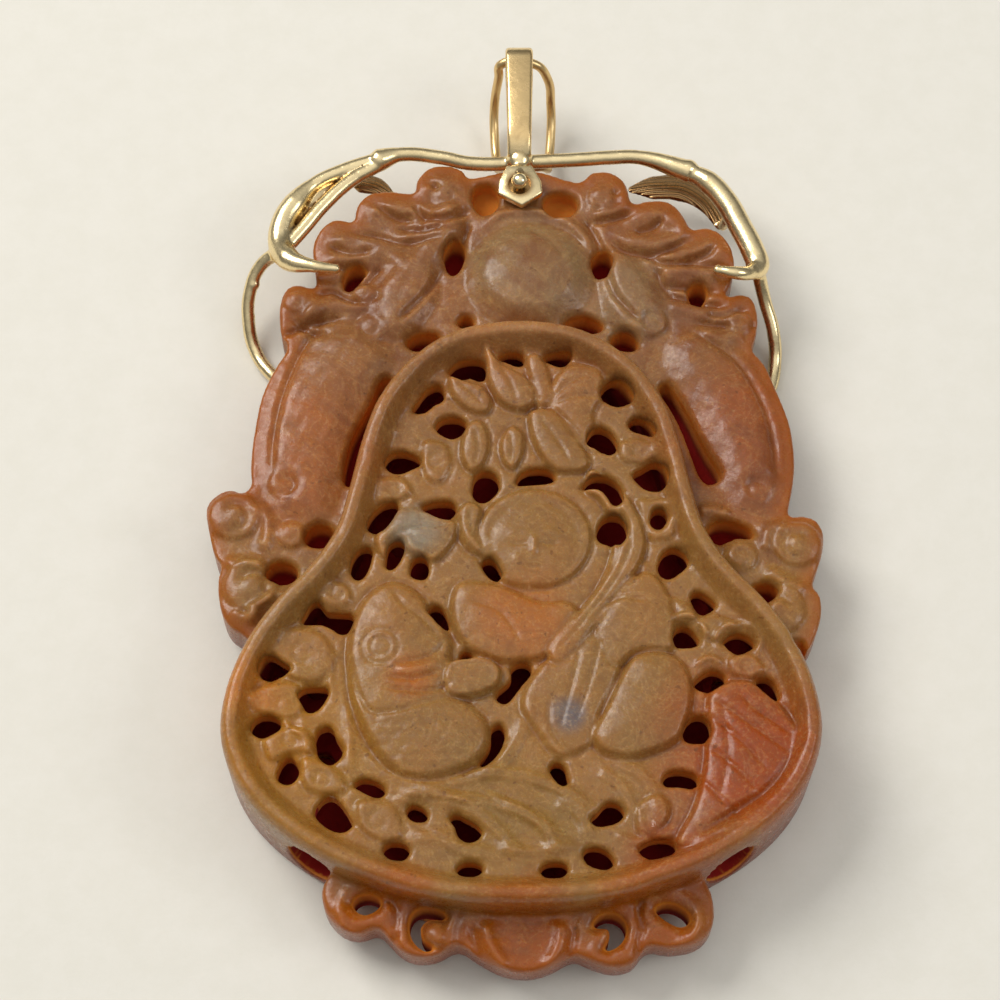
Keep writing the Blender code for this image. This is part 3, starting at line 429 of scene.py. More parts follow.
class Relief:
    """Heights over a cloud of places, all in millimetres of the drawing."""

    def __init__(self, x, y, level, share=1.0):
        self.x, self.y, self.level, self.share = x, y, level, share
        self.height = np.zeros(len(x))

    def near(self, line, margin):
        low, high = line.min(axis=0) - margin, line.max(axis=0) + margin
        return np.flatnonzero((self.x > low[0]) & (self.x < high[0]) & (self.y > low[1])
                              & (self.y < high[1]))

    def inside(self, outline, where):
        """Distance inwards from a closed outline, negative outside it."""
        x, y = self.x[where], self.y[where]
        nearest = np.full(len(x), np.inf)
        within = np.zeros(len(x), bool)
        for (ax, ay), (bx, by) in zip(outline, np.roll(outline, -1, axis=0)):
            vx, vy = bx - ax, by - ay
            t = np.clip(((x - ax) * vx + (y - ay) * vy) / (vx * vx + vy * vy + 1e-12), 0, 1)
            nearest = np.minimum(nearest, (x - ax - t * vx) ** 2 + (y - ay - t * vy) ** 2)
            crosses = (ay > y) != (by > y)
            within ^= crosses & (x < ax + (y - ay) / (by - ay + 1e-12) * vx)
        return np.where(within, 1, -1) * np.sqrt(nearest)

    def beside(self, line, where):
        """Distance from an open line, and how far along it, from 0 to 1."""
        x, y = self.x[where], self.y[where]
        nearest = np.full(len(x), np.inf)
        share = np.zeros(len(x))
        for i, ((ax, ay), (bx, by)) in enumerate(zip(line[:-1], line[1:])):
            vx, vy = bx - ax, by - ay
            t = np.clip(((x - ax) * vx + (y - ay) * vy) / (vx * vx + vy * vy + 1e-12), 0, 1)
            d = (x - ax - t * vx) ** 2 + (y - ay - t * vy) ** 2
            closer = d < nearest
            nearest = np.where(closer, d, nearest)
            share = np.where(closer, (i + t) / (len(line) - 1), share)
        return np.sqrt(nearest), share

    def lay(self, outline, height, shoulder, crown, cut):
        """Lays a form over what was there, and cuts a fine line round it."""
        where = self.near(outline, 0.8)
        d = self.inside(outline, where)
        here = self.height[where]
        here = here - cut * np.exp(-((d + 0.12) / 0.22) ** 2)
        deep = np.clip(d / max(d.max(), 0.1), 0, 1)
        top = height + crown * (2 * deep - deep ** 2)
        over = ease(d / shoulder + 0.25)
        self.height[where] = here * (1 - over) + top * over

    def form(self, pixels, height, shoulder=0.5, crown=0.25, cut=0.12):
        self.lay(curve_through(on_level(pixels, self.level), 5, True), self.share * height, shoulder,
                 self.share * crown, cut)

    def lines(self, height, width, *paths):
        """Ridges, or with a height below zero grooves, that thin out at both ends."""
        for pixels in paths:
            self.draw(curve_through(on_level(pixels, self.level), 6), 1.25 * height, width)

    def draw(self, path, height, width):
        where = self.near(path, 3 * width)
        d, share = self.beside(path, where)
        ends = np.clip(np.minimum(share, 1 - share) * 6, 0, 1)
        self.height[where] += height * (0.3 + 0.7 * ends) * np.exp(-(d / width) ** 2)

    def curl(self, u, v, radius, turn, height=0.4):
        """A scroll: a low round with a spiral cut that ends in a small eye."""
        x, y = seen_at(u, v, self.level)
        self.lay(ellipse(x, y, 2 * radius, 1.9 * radius, 0, 24), height, 0.6 * radius, 0.0, 0.05)
        self.spiral(x, y, radius, turn, (1.7, 0.78, 0.5), -0.3 * height, max(0.14 * radius, 0.18))

    def spiral(self, x, y, radius, turn, course, height, width):
        """A winding line. Its course is half turns, then shares of the radius at the start and lost."""
        half_turns, start, lost = course
        a = np.linspace(0, half_turns * math.pi, 18)
        r = radius * (start - lost * a / a[-1])
        way = math.copysign(1, turn)
        self.draw(np.stack([x + r * np.cos(way * a + math.radians(turn)),
                            y + r * np.sin(way * a + math.radians(turn))], axis=1), height, width)

    def dome(self, x, y, length, width, turn, rise, base=0.0):
        outline = ellipse(x, y, length, width, turn, 40)
        where = self.near(outline, 0.1)
        c, s = math.cos(math.radians(turn)), math.sin(math.radians(turn))
        dx, dy = self.x[where] - x, self.y[where] - y
        share = ((c * dx + s * dy) / (length / 2)) ** 2 + ((c * dy - s * dx) / (width / 2)) ** 2
        top = base + rise * np.sqrt(np.clip(1 - share, 0, 1))
        self.height[where] = np.where(share < 1, np.maximum(self.height[where], top),
                                      self.height[where])

    def soften(self, outline, reach, drop):
        """Rounds the surface down towards the mouth of a hole."""
        where = self.near(outline, reach)
        away = -self.inside(outline, where)
        self.height[where] -= drop * np.clip(1 - away / reach, 0, 1.15) ** 2


def places_of(obj):
    """The mesh's points in millimetres of the drawing."""
    spots = np.empty(len(obj.data.vertices) * 3)
    obj.data.vertices.foreach_get("co", spots)
    return (spots.reshape(-1, 3) - np.array(MOVED)) / MM


FRONT_FROM = 3.6
points = places_of(jade)
front = np.flatnonzero(points[:, 2] > FRONT_FROM)
px, py = points[front, 0], points[front, 1]
panel = Relief(px, py, 9.0, 0.95)
surround = Relief(px, py, 7.8, 0.6)
inwards = panel.inside(GOURD, np.arange(len(front)))
print("carving", len(front), "points of the front")

# %% [markdown]
# The panel holds a seated figure with a round head, a big fish at its side, a lotus above, and
# leaves, waves and clouds round them. Small clouds and stems come first, because the figures lie
# over them.

# %% Clouds and stems of the ground
for cloud in ([(246, 700), (262, 684), (290, 680), (304, 690), (296, 712), (268, 716)],
              [(270, 640), (290, 626), (318, 630), (334, 650), (326, 676), (300, 680), (276, 664)],
              [(262, 738), (284, 726), (308, 730), (312, 752), (290, 752), (270, 760)],
              [(300, 760), (312, 756), (340, 770), (346, 788), (326, 794), (304, 786)],
              [(356, 800), (380, 798), (398, 808), (402, 836), (380, 840), (358, 824)],
              [(700, 618), (716, 612), (740, 624), (732, 634), (716, 640), (704, 634)],
              [(664, 594), (686, 600), (698, 616), (676, 622), (666, 612)],
              [(728, 656), (752, 652), (766, 668), (750, 678), (732, 672)],
              [(636, 500), (650, 496), (672, 500), (676, 530), (664, 540), (646, 534)],
              [(620, 440), (640, 436), (660, 446), (654, 458), (632, 462), (620, 456)],
              [(422, 440), (446, 442), (452, 462), (440, 482), (424, 474)],
              [(378, 478), (402, 476), (412, 492), (394, 500), (376, 500)],
              [(330, 580), (346, 584), (352, 600), (336, 606), (318, 598)],
              [(640, 800), (664, 794), (672, 812), (656, 832), (636, 830)]):
    panel.form(cloud, 0.3, 0.7, 0.12, 0.1)
for u, v, radius, turn in ((303, 653, 1.5, 60), (288, 704, 1.3, -150), (291, 739, 1.0, 120),
                           (322, 776, 1.1, -40), (378, 820, 1.3, 60), (716, 628, 0.9, 170),
                           (676, 608, 0.9, 30), (748, 665, 0.9, 40), (656, 518, 0.9, 160),
                           (640, 450, 1.0, 60), (436, 460, 1.1, 30), (396, 488, 0.9, 150),
                           (338, 592, 1.0, 70)):
    panel.curl(u, v, radius, turn, 0.28)
panel.lines(
    0.16, 0.4,
    [(372, 470), (386, 440), (400, 424)], [(404, 480), (412, 498), (404, 508)],
    [(640, 392), (656, 412), (668, 440)], [(676, 500), (672, 530), (690, 548)],
    [(700, 560), (716, 584), (742, 606)], [(640, 556), (650, 580), (668, 600)],
    [(256, 690), (250, 712), (256, 738)], [(300, 716), (306, 740), (304, 760)],
    [(346, 700), (350, 740), (348, 770)], [(390, 800), (430, 790), (470, 800)],
    [(496, 846), (530, 850), (576, 844)], [(616, 832), (636, 840), (670, 830)])
panel.lines(
    0.26, 0.22,
    [(672, 648), (664, 634), (672, 618), (690, 615), (704, 628), (706, 644)],
    [(720, 650), (716, 636), (728, 624), (746, 623), (760, 636), (758, 652)],
    [(696, 664), (708, 656), (722, 660)], [(282, 718), (291, 727), (302, 734)])

# %% The lotus
panel.form([(545, 404), (552, 380), (572, 362), (600, 368), (604, 392), (594, 416), (612, 440),
            (590, 448), (570, 438), (556, 418)], 0.32, 0.6, 0.3)
panel.form([(537, 352), (548, 366), (552, 388), (548, 404), (536, 404), (528, 372), (526, 356)], 0.3, 0.4)
panel.form([(449, 374), (466, 379), (482, 384), (492, 398), (488, 411), (472, 411), (458, 402),
            (450, 390)], 0.45, 0.4)
panel.form([(486, 344), (502, 362), (524, 374), (535, 388), (534, 404), (518, 410), (500, 402),
            (489, 384), (484, 362)], 0.6, 0.45, 0.3)
panel.form([(528, 412), (552, 408), (572, 432), (590, 456), (584, 470), (556, 470), (536, 448)],
           0.5, 0.5)
panel.form([(466, 424), (482, 420), (490, 440), (484, 462), (470, 470), (460, 452)], 0.45, 0.4)
panel.form([(500, 440), (511, 424), (524, 434), (522, 456), (512, 468), (502, 458)], 0.45, 0.35)
panel.lines(
    -0.14, 0.17,
    [(550, 404), (574, 396), (602, 394)], [(552, 408), (572, 424), (588, 446)],
    [(552, 400), (566, 384), (586, 374)], [(474, 428), (478, 446), (474, 464)],
    [(540, 418), (556, 438), (570, 462)], [(510, 432), (512, 448), (510, 462)],
    [(498, 362), (510, 382), (516, 400)], [(458, 382), (472, 392), (482, 404)])

# %% Chest, arms and dress
panel.form([(450, 600), (462, 580), (500, 584), (540, 600), (566, 600), (580, 612), (572, 640),
            (548, 656), (510, 662), (478, 654), (456, 634)], 0.5, 0.7, 0.35)
panel.form([(540, 664), (566, 640), (604, 622), (624, 640), (618, 680), (602, 712), (596, 740),
            (560, 756), (536, 730), (520, 700)], 0.4, 0.7, 0.2)
panel.form([(596, 590), (624, 576), (652, 572), (668, 590), (676, 622), (672, 650), (640, 652),
            (616, 664), (602, 644), (592, 620)], 0.55, 0.7, 0.35)
panel.form([(632, 656), (652, 650), (674, 654), (688, 668), (694, 690), (690, 716), (680, 738),
            (660, 750), (630, 758), (602, 752), (592, 734), (604, 706), (616, 680)], 0.7, 0.7, 0.5)
panel.form([(590, 468), (612, 478), (634, 504), (646, 536), (640, 566), (616, 600), (588, 636),
            (560, 662), (548, 650), (572, 618), (600, 580), (612, 548), (610, 520), (598, 498),
            (584, 488)], 0.6, 0.45, 0.2)
panel.lines(
    -0.15, 0.16,
    [(602, 488), (624, 516), (630, 544), (616, 578), (586, 618), (560, 648)],
    [(610, 500), (620, 528), (616, 556), (600, 586), (574, 620)],
    [(650, 546), (636, 570), (612, 598), (590, 622)], [(580, 650), (570, 690), (560, 726)],
    [(600, 640), (590, 680), (576, 720)], [(470, 600), (500, 612), (520, 640)],
    [(606, 604), (620, 598), (644, 600)], [(632, 656), (618, 680), (608, 704), (596, 722)],
    [(548, 700), (552, 730), (570, 752)])

# %% [markdown]
# The head is a plain, calm one, drawn from the usual proportions and not from the picture: the eyes
# halfway down the oval, the foot of the nose and the mouth at thirds of what is left.

# %% The head
HEAD = (534, 535)
HEAD_WIDTH, HEAD_HEIGHT = 9.8, 9.0
head_x, head_y = seen_at(*HEAD, 9.4)
panel.lay(ellipse(head_x, head_y, HEAD_WIDTH, HEAD_HEIGHT, 0, 40), 0.4, 0.5, 0.12, 0.14)
panel.lay(ellipse(head_x, head_y - 0.5, HEAD_WIDTH * 0.74, HEAD_HEIGHT * 0.8, 0, 40), 0.46, 0.5, 0.28, 0.06)
panel.form([(456, 512), (468, 500), (482, 508), (478, 530), (482, 552), (468, 548), (458, 532)], 0.5, 0.4)
panel.lines(
    -0.14, 0.16,
    [(462, 512), (458, 524), (466, 540), (476, 550)], [(470, 508), (470, 526), (476, 538)])


def on_face(across, down):
    """A place on the face, as shares of its half width and half height from its middle."""
    return head_x + across * HEAD_WIDTH * 0.37, head_y - 0.5 - down * HEAD_HEIGHT * 0.4


def mark(shares, height, width):
    panel.draw(curve_through([on_face(*share) for share in shares], 5), 1.6 * height, width)


for side in (-1, 1):
    mark([(side * 0.18, 0.0), (side * 0.36, 0.05), (side * 0.56, -0.01)], -0.13, 0.14)
    mark([(side * 0.14, -0.2), (side * 0.36, -0.29), (side * 0.6, -0.18)], 0.06, 0.2)
    mark([(side * 0.12, 0.3), (side * 0.15, 0.36)], -0.07, 0.12)
    mark([(side * 0.3, 0.45), (side * 0.5, 0.35)], 0.05, 0.5)
mark([(0, -0.15), (0, 0.1), (0, 0.3)], 0.16, 0.22)
mark([(-0.22, 0.58), (0, 0.62), (0.22, 0.58)], -0.11, 0.12)
mark([(-0.12, 0.74), (0.12, 0.74)], -0.06, 0.16)
mark([(-0.1, 0.68), (0.1, 0.68)], 0.07, 0.18)

# %% The fish
panel.form([(366, 594), (390, 580), (414, 588), (436, 612), (452, 640), (452, 656), (460, 672),
            (452, 690), (472, 704), (488, 722), (488, 746), (470, 766), (440, 776), (404, 775),
            (380, 758), (362, 730), (350, 696), (346, 650), (352, 618)], 0.6, 0.9, 0.55, 0.2)
panel.form([(448, 664), (466, 657), (488, 658), (500, 668), (498, 684), (480, 694), (452, 696),
            (444, 684)], 1.0, 0.35, 0.12)
for k in range(6):
    panel.lines(-0.13, 0.13, [(450, 668 + 4.6 * k), (472, 664 + 5.2 * k), (494, 666 + 4.2 * k)])
eye_x, eye_y = seen_at(380, 644, 9.9)
for radius, depth in ((1.5, -0.13), (0.8, -0.12)):
    circle = ellipse(eye_x, eye_y, 2 * radius, 2 * radius, 0, 32)
    where = panel.near(circle, 0.7)
    panel.height[where] += depth * np.exp(-(panel.inside(circle, where) / 0.15) ** 2)
panel.lines(
    -0.2, 0.18,
    [(398, 664), (420, 660), (436, 652), (446, 640)], [(384, 688), (412, 692), (436, 690), (452, 682)],
    [(390, 678), (414, 680), (440, 672)])
panel.lines(0.14, 0.3, [(398, 672), (420, 670), (440, 662)])
panel.lines(-0.15, 0.2, [(352, 660), (358, 692), (372, 712), (396, 712), (430, 702), (452, 698)])
panel.lines(-0.12, 0.2, [(392, 590), (404, 606), (424, 620), (440, 640)])
for row in range(5):
    for k in range(8):
        u = 368 + 16 * k + 8 * (row % 2)
        v = 722 + 10.5 * row
        if (u - 425) ** 2 / 62 ** 2 + (v - 738) ** 2 / 36 ** 2 < 1:
            panel.lines(-0.045, 0.13, [(u - 7, v - 3), (u - 4, v + 3), (u + 4, v + 3), (u + 7, v - 3)])

# %% Leaves and waves
panel.form([(374, 540), (382, 522), (396, 508), (416, 507), (440, 515), (458, 522), (452, 544),
            (434, 560), (410, 552), (396, 540), (384, 556)], 0.45, 0.5, 0.3)
panel.lines(-0.14, 0.18, [(380, 546), (404, 530), (450, 524)])
panel.lines(-0.1, 0.16, [(404, 530), (420, 546), (436, 554)])
panel.form([(708, 694), (728, 680), (752, 680), (776, 698), (796, 724), (803, 754), (794, 790),
            (770, 816), (738, 834), (700, 846), (676, 842), (692, 808), (702, 776), (706, 736)],
           0.45, 0.6, 0.45, 0.2)
panel.lines(
    -0.17, 0.19,
    [(716, 700), (744, 720), (790, 752)], [(712, 716), (738, 738), (768, 770)],
    [(710, 746), (736, 768), (760, 792)], [(704, 780), (722, 800), (742, 816)],
    [(740, 694), (760, 712), (792, 734)], [(722, 706), (728, 750), (720, 796)])
panel.lines(-0.38, 0.36, [(702, 832), (740, 808), (766, 792), (784, 772), (797, 748)])
panel.lines(0.28, 0.3, [(700, 838), (744, 820), (774, 800), (796, 776)])
WAVES = (
    [(372, 756), (400, 774), (450, 780), (492, 768), (516, 742), (530, 704)],
    [(396, 784), (440, 792), (490, 800), (536, 818), (570, 848)],
    [(476, 772), (520, 774), (566, 790), (596, 812)], [(500, 800), (540, 822), (556, 852)],
    [(430, 798), (470, 806), (500, 830), (520, 856)], [(410, 838), (436, 834), (462, 848), (500, 852)],
    [(556, 800), (580, 812), (590, 836)], [(612, 760), (640, 772), (656, 796), (664, 826)],
    [(598, 770), (620, 784), (640, 816)])
for wave in WAVES:
    panel.lines(0.26, 0.5, wave)
    panel.lines(-0.12, 0.14, wave)
panel.lines(
    -0.09, 0.13,
    [(382, 792), (420, 800), (460, 822)], [(488, 786), (530, 806), (550, 832)],
    [(420, 826), (450, 838), (480, 846)], [(530, 786), (560, 796), (576, 826)],
    [(440, 786), (480, 792), (516, 812)], [(630, 790), (644, 812), (650, 834)])
panel.lines(0.2, 0.2, [(336, 650), (331, 668), (330, 690)])

# %% Mouths of the holes, and the rim
for line in hole_lines:
    panel.soften(line, 0.4, 0.2)
share = inwards / RIM_WIDTH
outer = np.sqrt(np.clip(1 - (1 - np.clip(share / 0.38, 0, 1)) ** 2, 0, 1))
inner = 1 - ease((share - 0.55) / 0.75)
rim = outer * inner
wobble = 0.05 * np.sin(0.7 * px + 0.4 * py) + 0.04 * np.sin(1.1 * py - 0.5 * px)
panel_height = (RIM_RISE + wobble) * rim + (1 - inner) * (panel.height - 0.3)
print("panel relief from", round(panel_height.min(), 2), "to", round(panel_height.max(), 2), "mm")

# %% [markdown]
# Above the gourd two dragons face a pearl. Their bodies are broad and smooth with one line along
# the outer edge. Their manes flow out into the lobes of the outline, so the ridges run that way.

# %% The pearl and the dragons
surround.form([(300, 345), (330, 318), (372, 318), (394, 350), (384, 376), (364, 400), (350, 440),
               (342, 480), (330, 512), (300, 520), (268, 500), (258, 460), (262, 410), (278, 372)],
              0.7, 3.0, 0.7, 0.04)
surround.form([(664, 350), (676, 326), (706, 322), (742, 344), (768, 380), (784, 430), (786, 480),
               (768, 508), (738, 506), (722, 480), (708, 440), (690, 400), (672, 376)],
              0.7, 3.0, 0.7, 0.04)
surround.lines(-0.3, 0.3, [(326, 308), (300, 346), (284, 384), (274, 424), (270, 466)])
surround.lines(-0.3, 0.3, [(692, 328), (732, 352), (756, 384), (772, 424), (778, 470)])
surround.form([(452, 196), (466, 214), (460, 240), (442, 262), (436, 300), (410, 330), (384, 334),
               (366, 318), (376, 290), (394, 264), (412, 236), (432, 206)], 1.0, 1.8, 0.6, 0.1)
surround.form([(596, 250), (612, 246), (634, 252), (656, 280), (668, 314), (650, 334), (624, 334),
               (606, 312), (600, 284)], 1.0, 1.8, 0.6, 0.1)
pearl_x, pearl_y = seen_at(530, 264, 9.2)
surround.lay(ellipse(pearl_x, pearl_y, 11.4, 10.6, 0, 44), 0.75, 3.0, 1.0, 0.12)
surround.lines(-0.14, 0.25, [(530, 226), (548, 240), (564, 256)])
surround.lines(0.3, 0.4, [(484, 222), (500, 209), (530, 206), (560, 212), (584, 232), (592, 256)])
surround.lines(
    0.36, 0.75,
    [(420, 190), (436, 179), (456, 180), (460, 196), (440, 210)],
    [(366, 206), (390, 203), (420, 206), (448, 206)],
    [(330, 240), (350, 234), (380, 240), (404, 236), (430, 216)],
    [(322, 258), (350, 250), (384, 250), (404, 258)],
    [(300, 314), (330, 300), (362, 300), (388, 278), (404, 250)],
    [(286, 302), (296, 292), (312, 300), (302, 312)],
    [(600, 182), (616, 186), (624, 200), (606, 206), (590, 198)],
    [(632, 214), (656, 209), (676, 218), (680, 232), (650, 238), (620, 232)],
    [(650, 256), (680, 250), (712, 242), (726, 254)], [(660, 268), (690, 266), (722, 272)],
    [(664, 300), (690, 306), (720, 312), (746, 310)], [(700, 330), (724, 332), (746, 330)])
surround.lines(
    -0.42, 0.32,
    [(352, 228), (376, 230), (402, 238), (440, 234)], [(314, 266), (340, 262), (368, 264)],
    [(316, 290), (332, 286), (352, 296), (380, 292)], [(282, 330), (310, 318), (340, 312)],
    [(414, 200), (424, 212), (446, 216), (470, 204)], [(400, 222), (424, 226), (444, 222)],
    [(632, 208), (610, 214), (592, 216)], [(690, 234), (660, 248), (630, 246), (612, 236)],
    [(732, 262), (700, 258), (668, 258), (646, 250)], [(724, 300), (704, 298), (672, 290)],
    [(756, 320), (730, 320), (700, 318)], [(668, 280), (690, 282), (716, 286)],
    [(380, 262), (366, 276), (358, 296)], [(656, 262), (664, 280), (676, 292)],
    [(330, 240), (348, 248), (372, 246)], [(292, 312), (306, 324), (326, 330)],
    [(430, 178), (444, 186), (458, 186)], [(376, 200), (396, 212), (412, 214)],
    [(620, 186), (606, 194), (596, 206)], [(664, 212), (652, 222), (636, 226)],
    [(716, 240), (704, 250), (684, 256)], [(746, 304), (728, 310), (708, 310)],
    [(440, 268), (424, 292), (400, 316)], [(606, 262), (616, 292), (640, 318)],
    [(470, 216), (462, 236), (458, 252)], [(586, 214), (596, 230), (604, 246)])
for u, v, radius, turn in ((371, 323, 1.5, 60), (296, 297, 1.1, 100), (654, 318, 1.3, 120),
                           (284, 480, 1.4, 200), (758, 484, 1.4, -20), (290, 530, 1.4, 60),
                           (742, 552, 1.5, 200), (446, 190, 1.3, 120), (602, 192, 1.3, 60),
                           (740, 318, 1.2, 200), (364, 288, 1.1, 20)):
    surround.curl(u, v, radius, turn, 0.5)

# %% Scrolls at the waist, and the frill
for u, v, radius, turn in ((233, 514, 1.9, 250), (250, 584, 2.0, 270), (798, 542, 1.8, -70),
                           (780, 608, 1.9, -90)):
    x, y = seen_at(u, v, 7.2)
    surround.dome(x, y, 2.4 * radius, 2.3 * radius, 0, 0.75)
    surround.spiral(x, y, radius, turn, (1.45, 0.75, 0.3), -0.3, 0.4)
surround.lines(
    0.4, 0.6,
    [(256, 500), (268, 520), (262, 548)], [(224, 560), (244, 558), (262, 562)],
    [(250, 620), (262, 600), (290, 588)], [(786, 520), (770, 528), (766, 548)],
    [(806, 586), (786, 578), (768, 566)], [(780, 640), (770, 620), (748, 606)],
    [(230, 606), (244, 614), (256, 604)], [(700, 508), (712, 506), (730, 512)])
for line in ring_lines:
    where = surround.near(line, 1.6)
    d = surround.inside(line, where)
    surround.height[where] += 0.16 * np.exp(-((d + 0.85) / 0.42) ** 2)
surround.lines(
    -0.3, 0.34,
    [(470, 920), (478, 946), (496, 966)], [(576, 920), (570, 948), (556, 966)],
    [(398, 926), (390, 940), (392, 950)], [(640, 926), (640, 944), (644, 956)],
    [(388, 890), (396, 906), (394, 924)], [(644, 892), (640, 908), (644, 926)])
surround.lines(
    0.3, 0.5,
    [(484, 916), (492, 942), (508, 966)], [(562, 916), (558, 944), (544, 966)],
    [(336, 900), (344, 926), (366, 934)], [(700, 908), (694, 934), (674, 942)],
    [(460, 900), (450, 920), (452, 944)])
knob_x, knob_y = seen_at(437, 933, 6.8)
surround.dome(knob_x, knob_y, 2.1, 2.1, 0, 0.7)
for line in slot_lines + dip_lines + ring_lines:
    surround.soften(line, 0.5, 0.28)
surround_height = surround.height - 0.25
print("surround relief from", round(surround_height.min(), 2), "to", round(surround_height.max(), 2), "mm")

# %% [markdown]
# Now the points move. What lies on the gourd follows the panel's relief and the rest follows the
# surround's. A point lower down a wall moves less, so the walls only stretch.

# %% Carving the blank
PANEL_FROM, PANEL_BLEND = 5.8, 2.5
SURROUND_BLEND, GOURD_FROM = 2.6, 6.5
z = points[front, 2]
on_gourd = ease((inwards + 0.25) / 0.25) * ease((z - GOURD_FROM) / 0.8)
tool_marks = 0.022 * (np.sin(1.9 * px + 0.8 * np.sin(1.3 * py)) * np.sin(2.3 * py + 1.1 * np.sin(0.9 * px))
                      + 0.6 * np.sin(5.1 * px + 2.0 * py) * np.sin(4.3 * py - 1.2 * px))
z_panel = (panel_height + tool_marks) * ease((z - PANEL_FROM) / PANEL_BLEND)
z_surround = (surround_height + 1.5 * tool_marks) * ease((z - FRONT_FROM) / SURROUND_BLEND)
points[front, 2] += on_gourd * z_panel + (1 - on_gourd) * z_surround
jade.data.vertices.foreach_set("co", (points * MM + np.array(MOVED)).ravel())
jade.data.update()

# %% [markdown]
# The back, the hollow and the side wall need few faces, so they are thinned the most.

# %% Fewer faces where nothing is carved
def thin(amount, below):
    heights = places_of(jade)[:, 2]
    group = jade.vertex_groups.new(name="plain")
    group.add(np.flatnonzero(heights < below).tolist(), 1.0, "REPLACE")
    apply_modifier(jade, "DECIMATE", ratio=amount, vertex_group="plain", vertex_group_factor=1000.0)
    jade.vertex_groups.clear()


MOST_TRIANGLES, PLAIN_SHARE, CARVED_FROM = 194_000, 0.5, 6.9
print("faces before thinning:", 2 * len(jade.data.polygons))
thin(PLAIN_SHARE, CARVED_FROM)
apply_modifier(jade, "DECIMATE", ratio=min(1.0, MOST_TRIANGLES / sum(
    len(face.vertices) - 2 for face in jade.data.polygons)))
only(jade)
bpy.ops.object.shade_smooth()
print("jade has", sum(len(face.vertices) - 2 for face in jade.data.polygons), "triangles")

# %% [markdown]
# Light soaks into jade. The finish paints that light and shade into the colour: thin edges get a painted
# orange glow, the walls of the holes a painted amber light, the hollow a painted dark red shade, and the
# low outer walls a painted dark red shade. Four values kept on the mesh tell the finish how deep in a
# hole a point is, how near the outer edge, whether it lies outside the gourd, and how low it lies there.

# %% Depth in a hole, and nearness to the edge
def keep(obj, name, values):
    kept = obj.data.attributes.new(name, "FLOAT", "POINT")
    kept.data.foreach_set("value", values.astype(np.float32))


points = places_of(jade)
everywhere = np.arange(len(points))
around = Relief(points[:, 0], points[:, 1], 0.0)
inward = around.inside(GOURD, everywhere)
up = points[:, 2]
in_gourd = ease((inward - 1.2) / 0.5)
depth = in_gourd * np.clip((HOLE_LEVEL - up) / 3.2, 0, 1) * ease((up - 0.9) / 0.6)
for x, y, _ in SIDE_OPENINGS:
    beside = np.hypot(points[:, 0] - x, points[:, 1] - y) < 4.2
    walls = beside & (up > 0.3) & (up < 7.9)
    depth[walls] = np.maximum(depth[walls], 0.85 * ease((inward[walls] - 0.05) / 0.4))
for line in slot_lines + dip_lines + ring_lines:
    where = around.near(line, 0.4)
    in_slot = ease((around.inside(line, where) + 0.3) / 0.3)
    sunk = np.clip((SURROUND_TOP - up[where]) / 4.6, 0, 1)
    depth[where] = np.maximum(depth[where], in_slot * sunk)
keep(jade, "depth", depth)
edge = np.full(len(points), 9.0)
for line in (SURROUND, FRILL):
    edge = np.minimum(edge, np.abs(around.inside(line, everywhere)))
outside = 1 - ease((inward + 0.2) / 0.4)
keep(jade, "thin", outside * ease(1 - edge / 2.2))
keep(jade, "outer", outside)
keep(jade, "low", ease((6.4 - up) / 4.0) * (1 - in_gourd))
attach(jade, "pendant")
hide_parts("jade_carving")

# %% [markdown]
# The mount is gold, cast and softly polished. Its round wires grow into one another like branches,
# so they are drawn as thick curves, joined, and melted together by a remesh. Each leaf sits on a
# short stem under an arm.

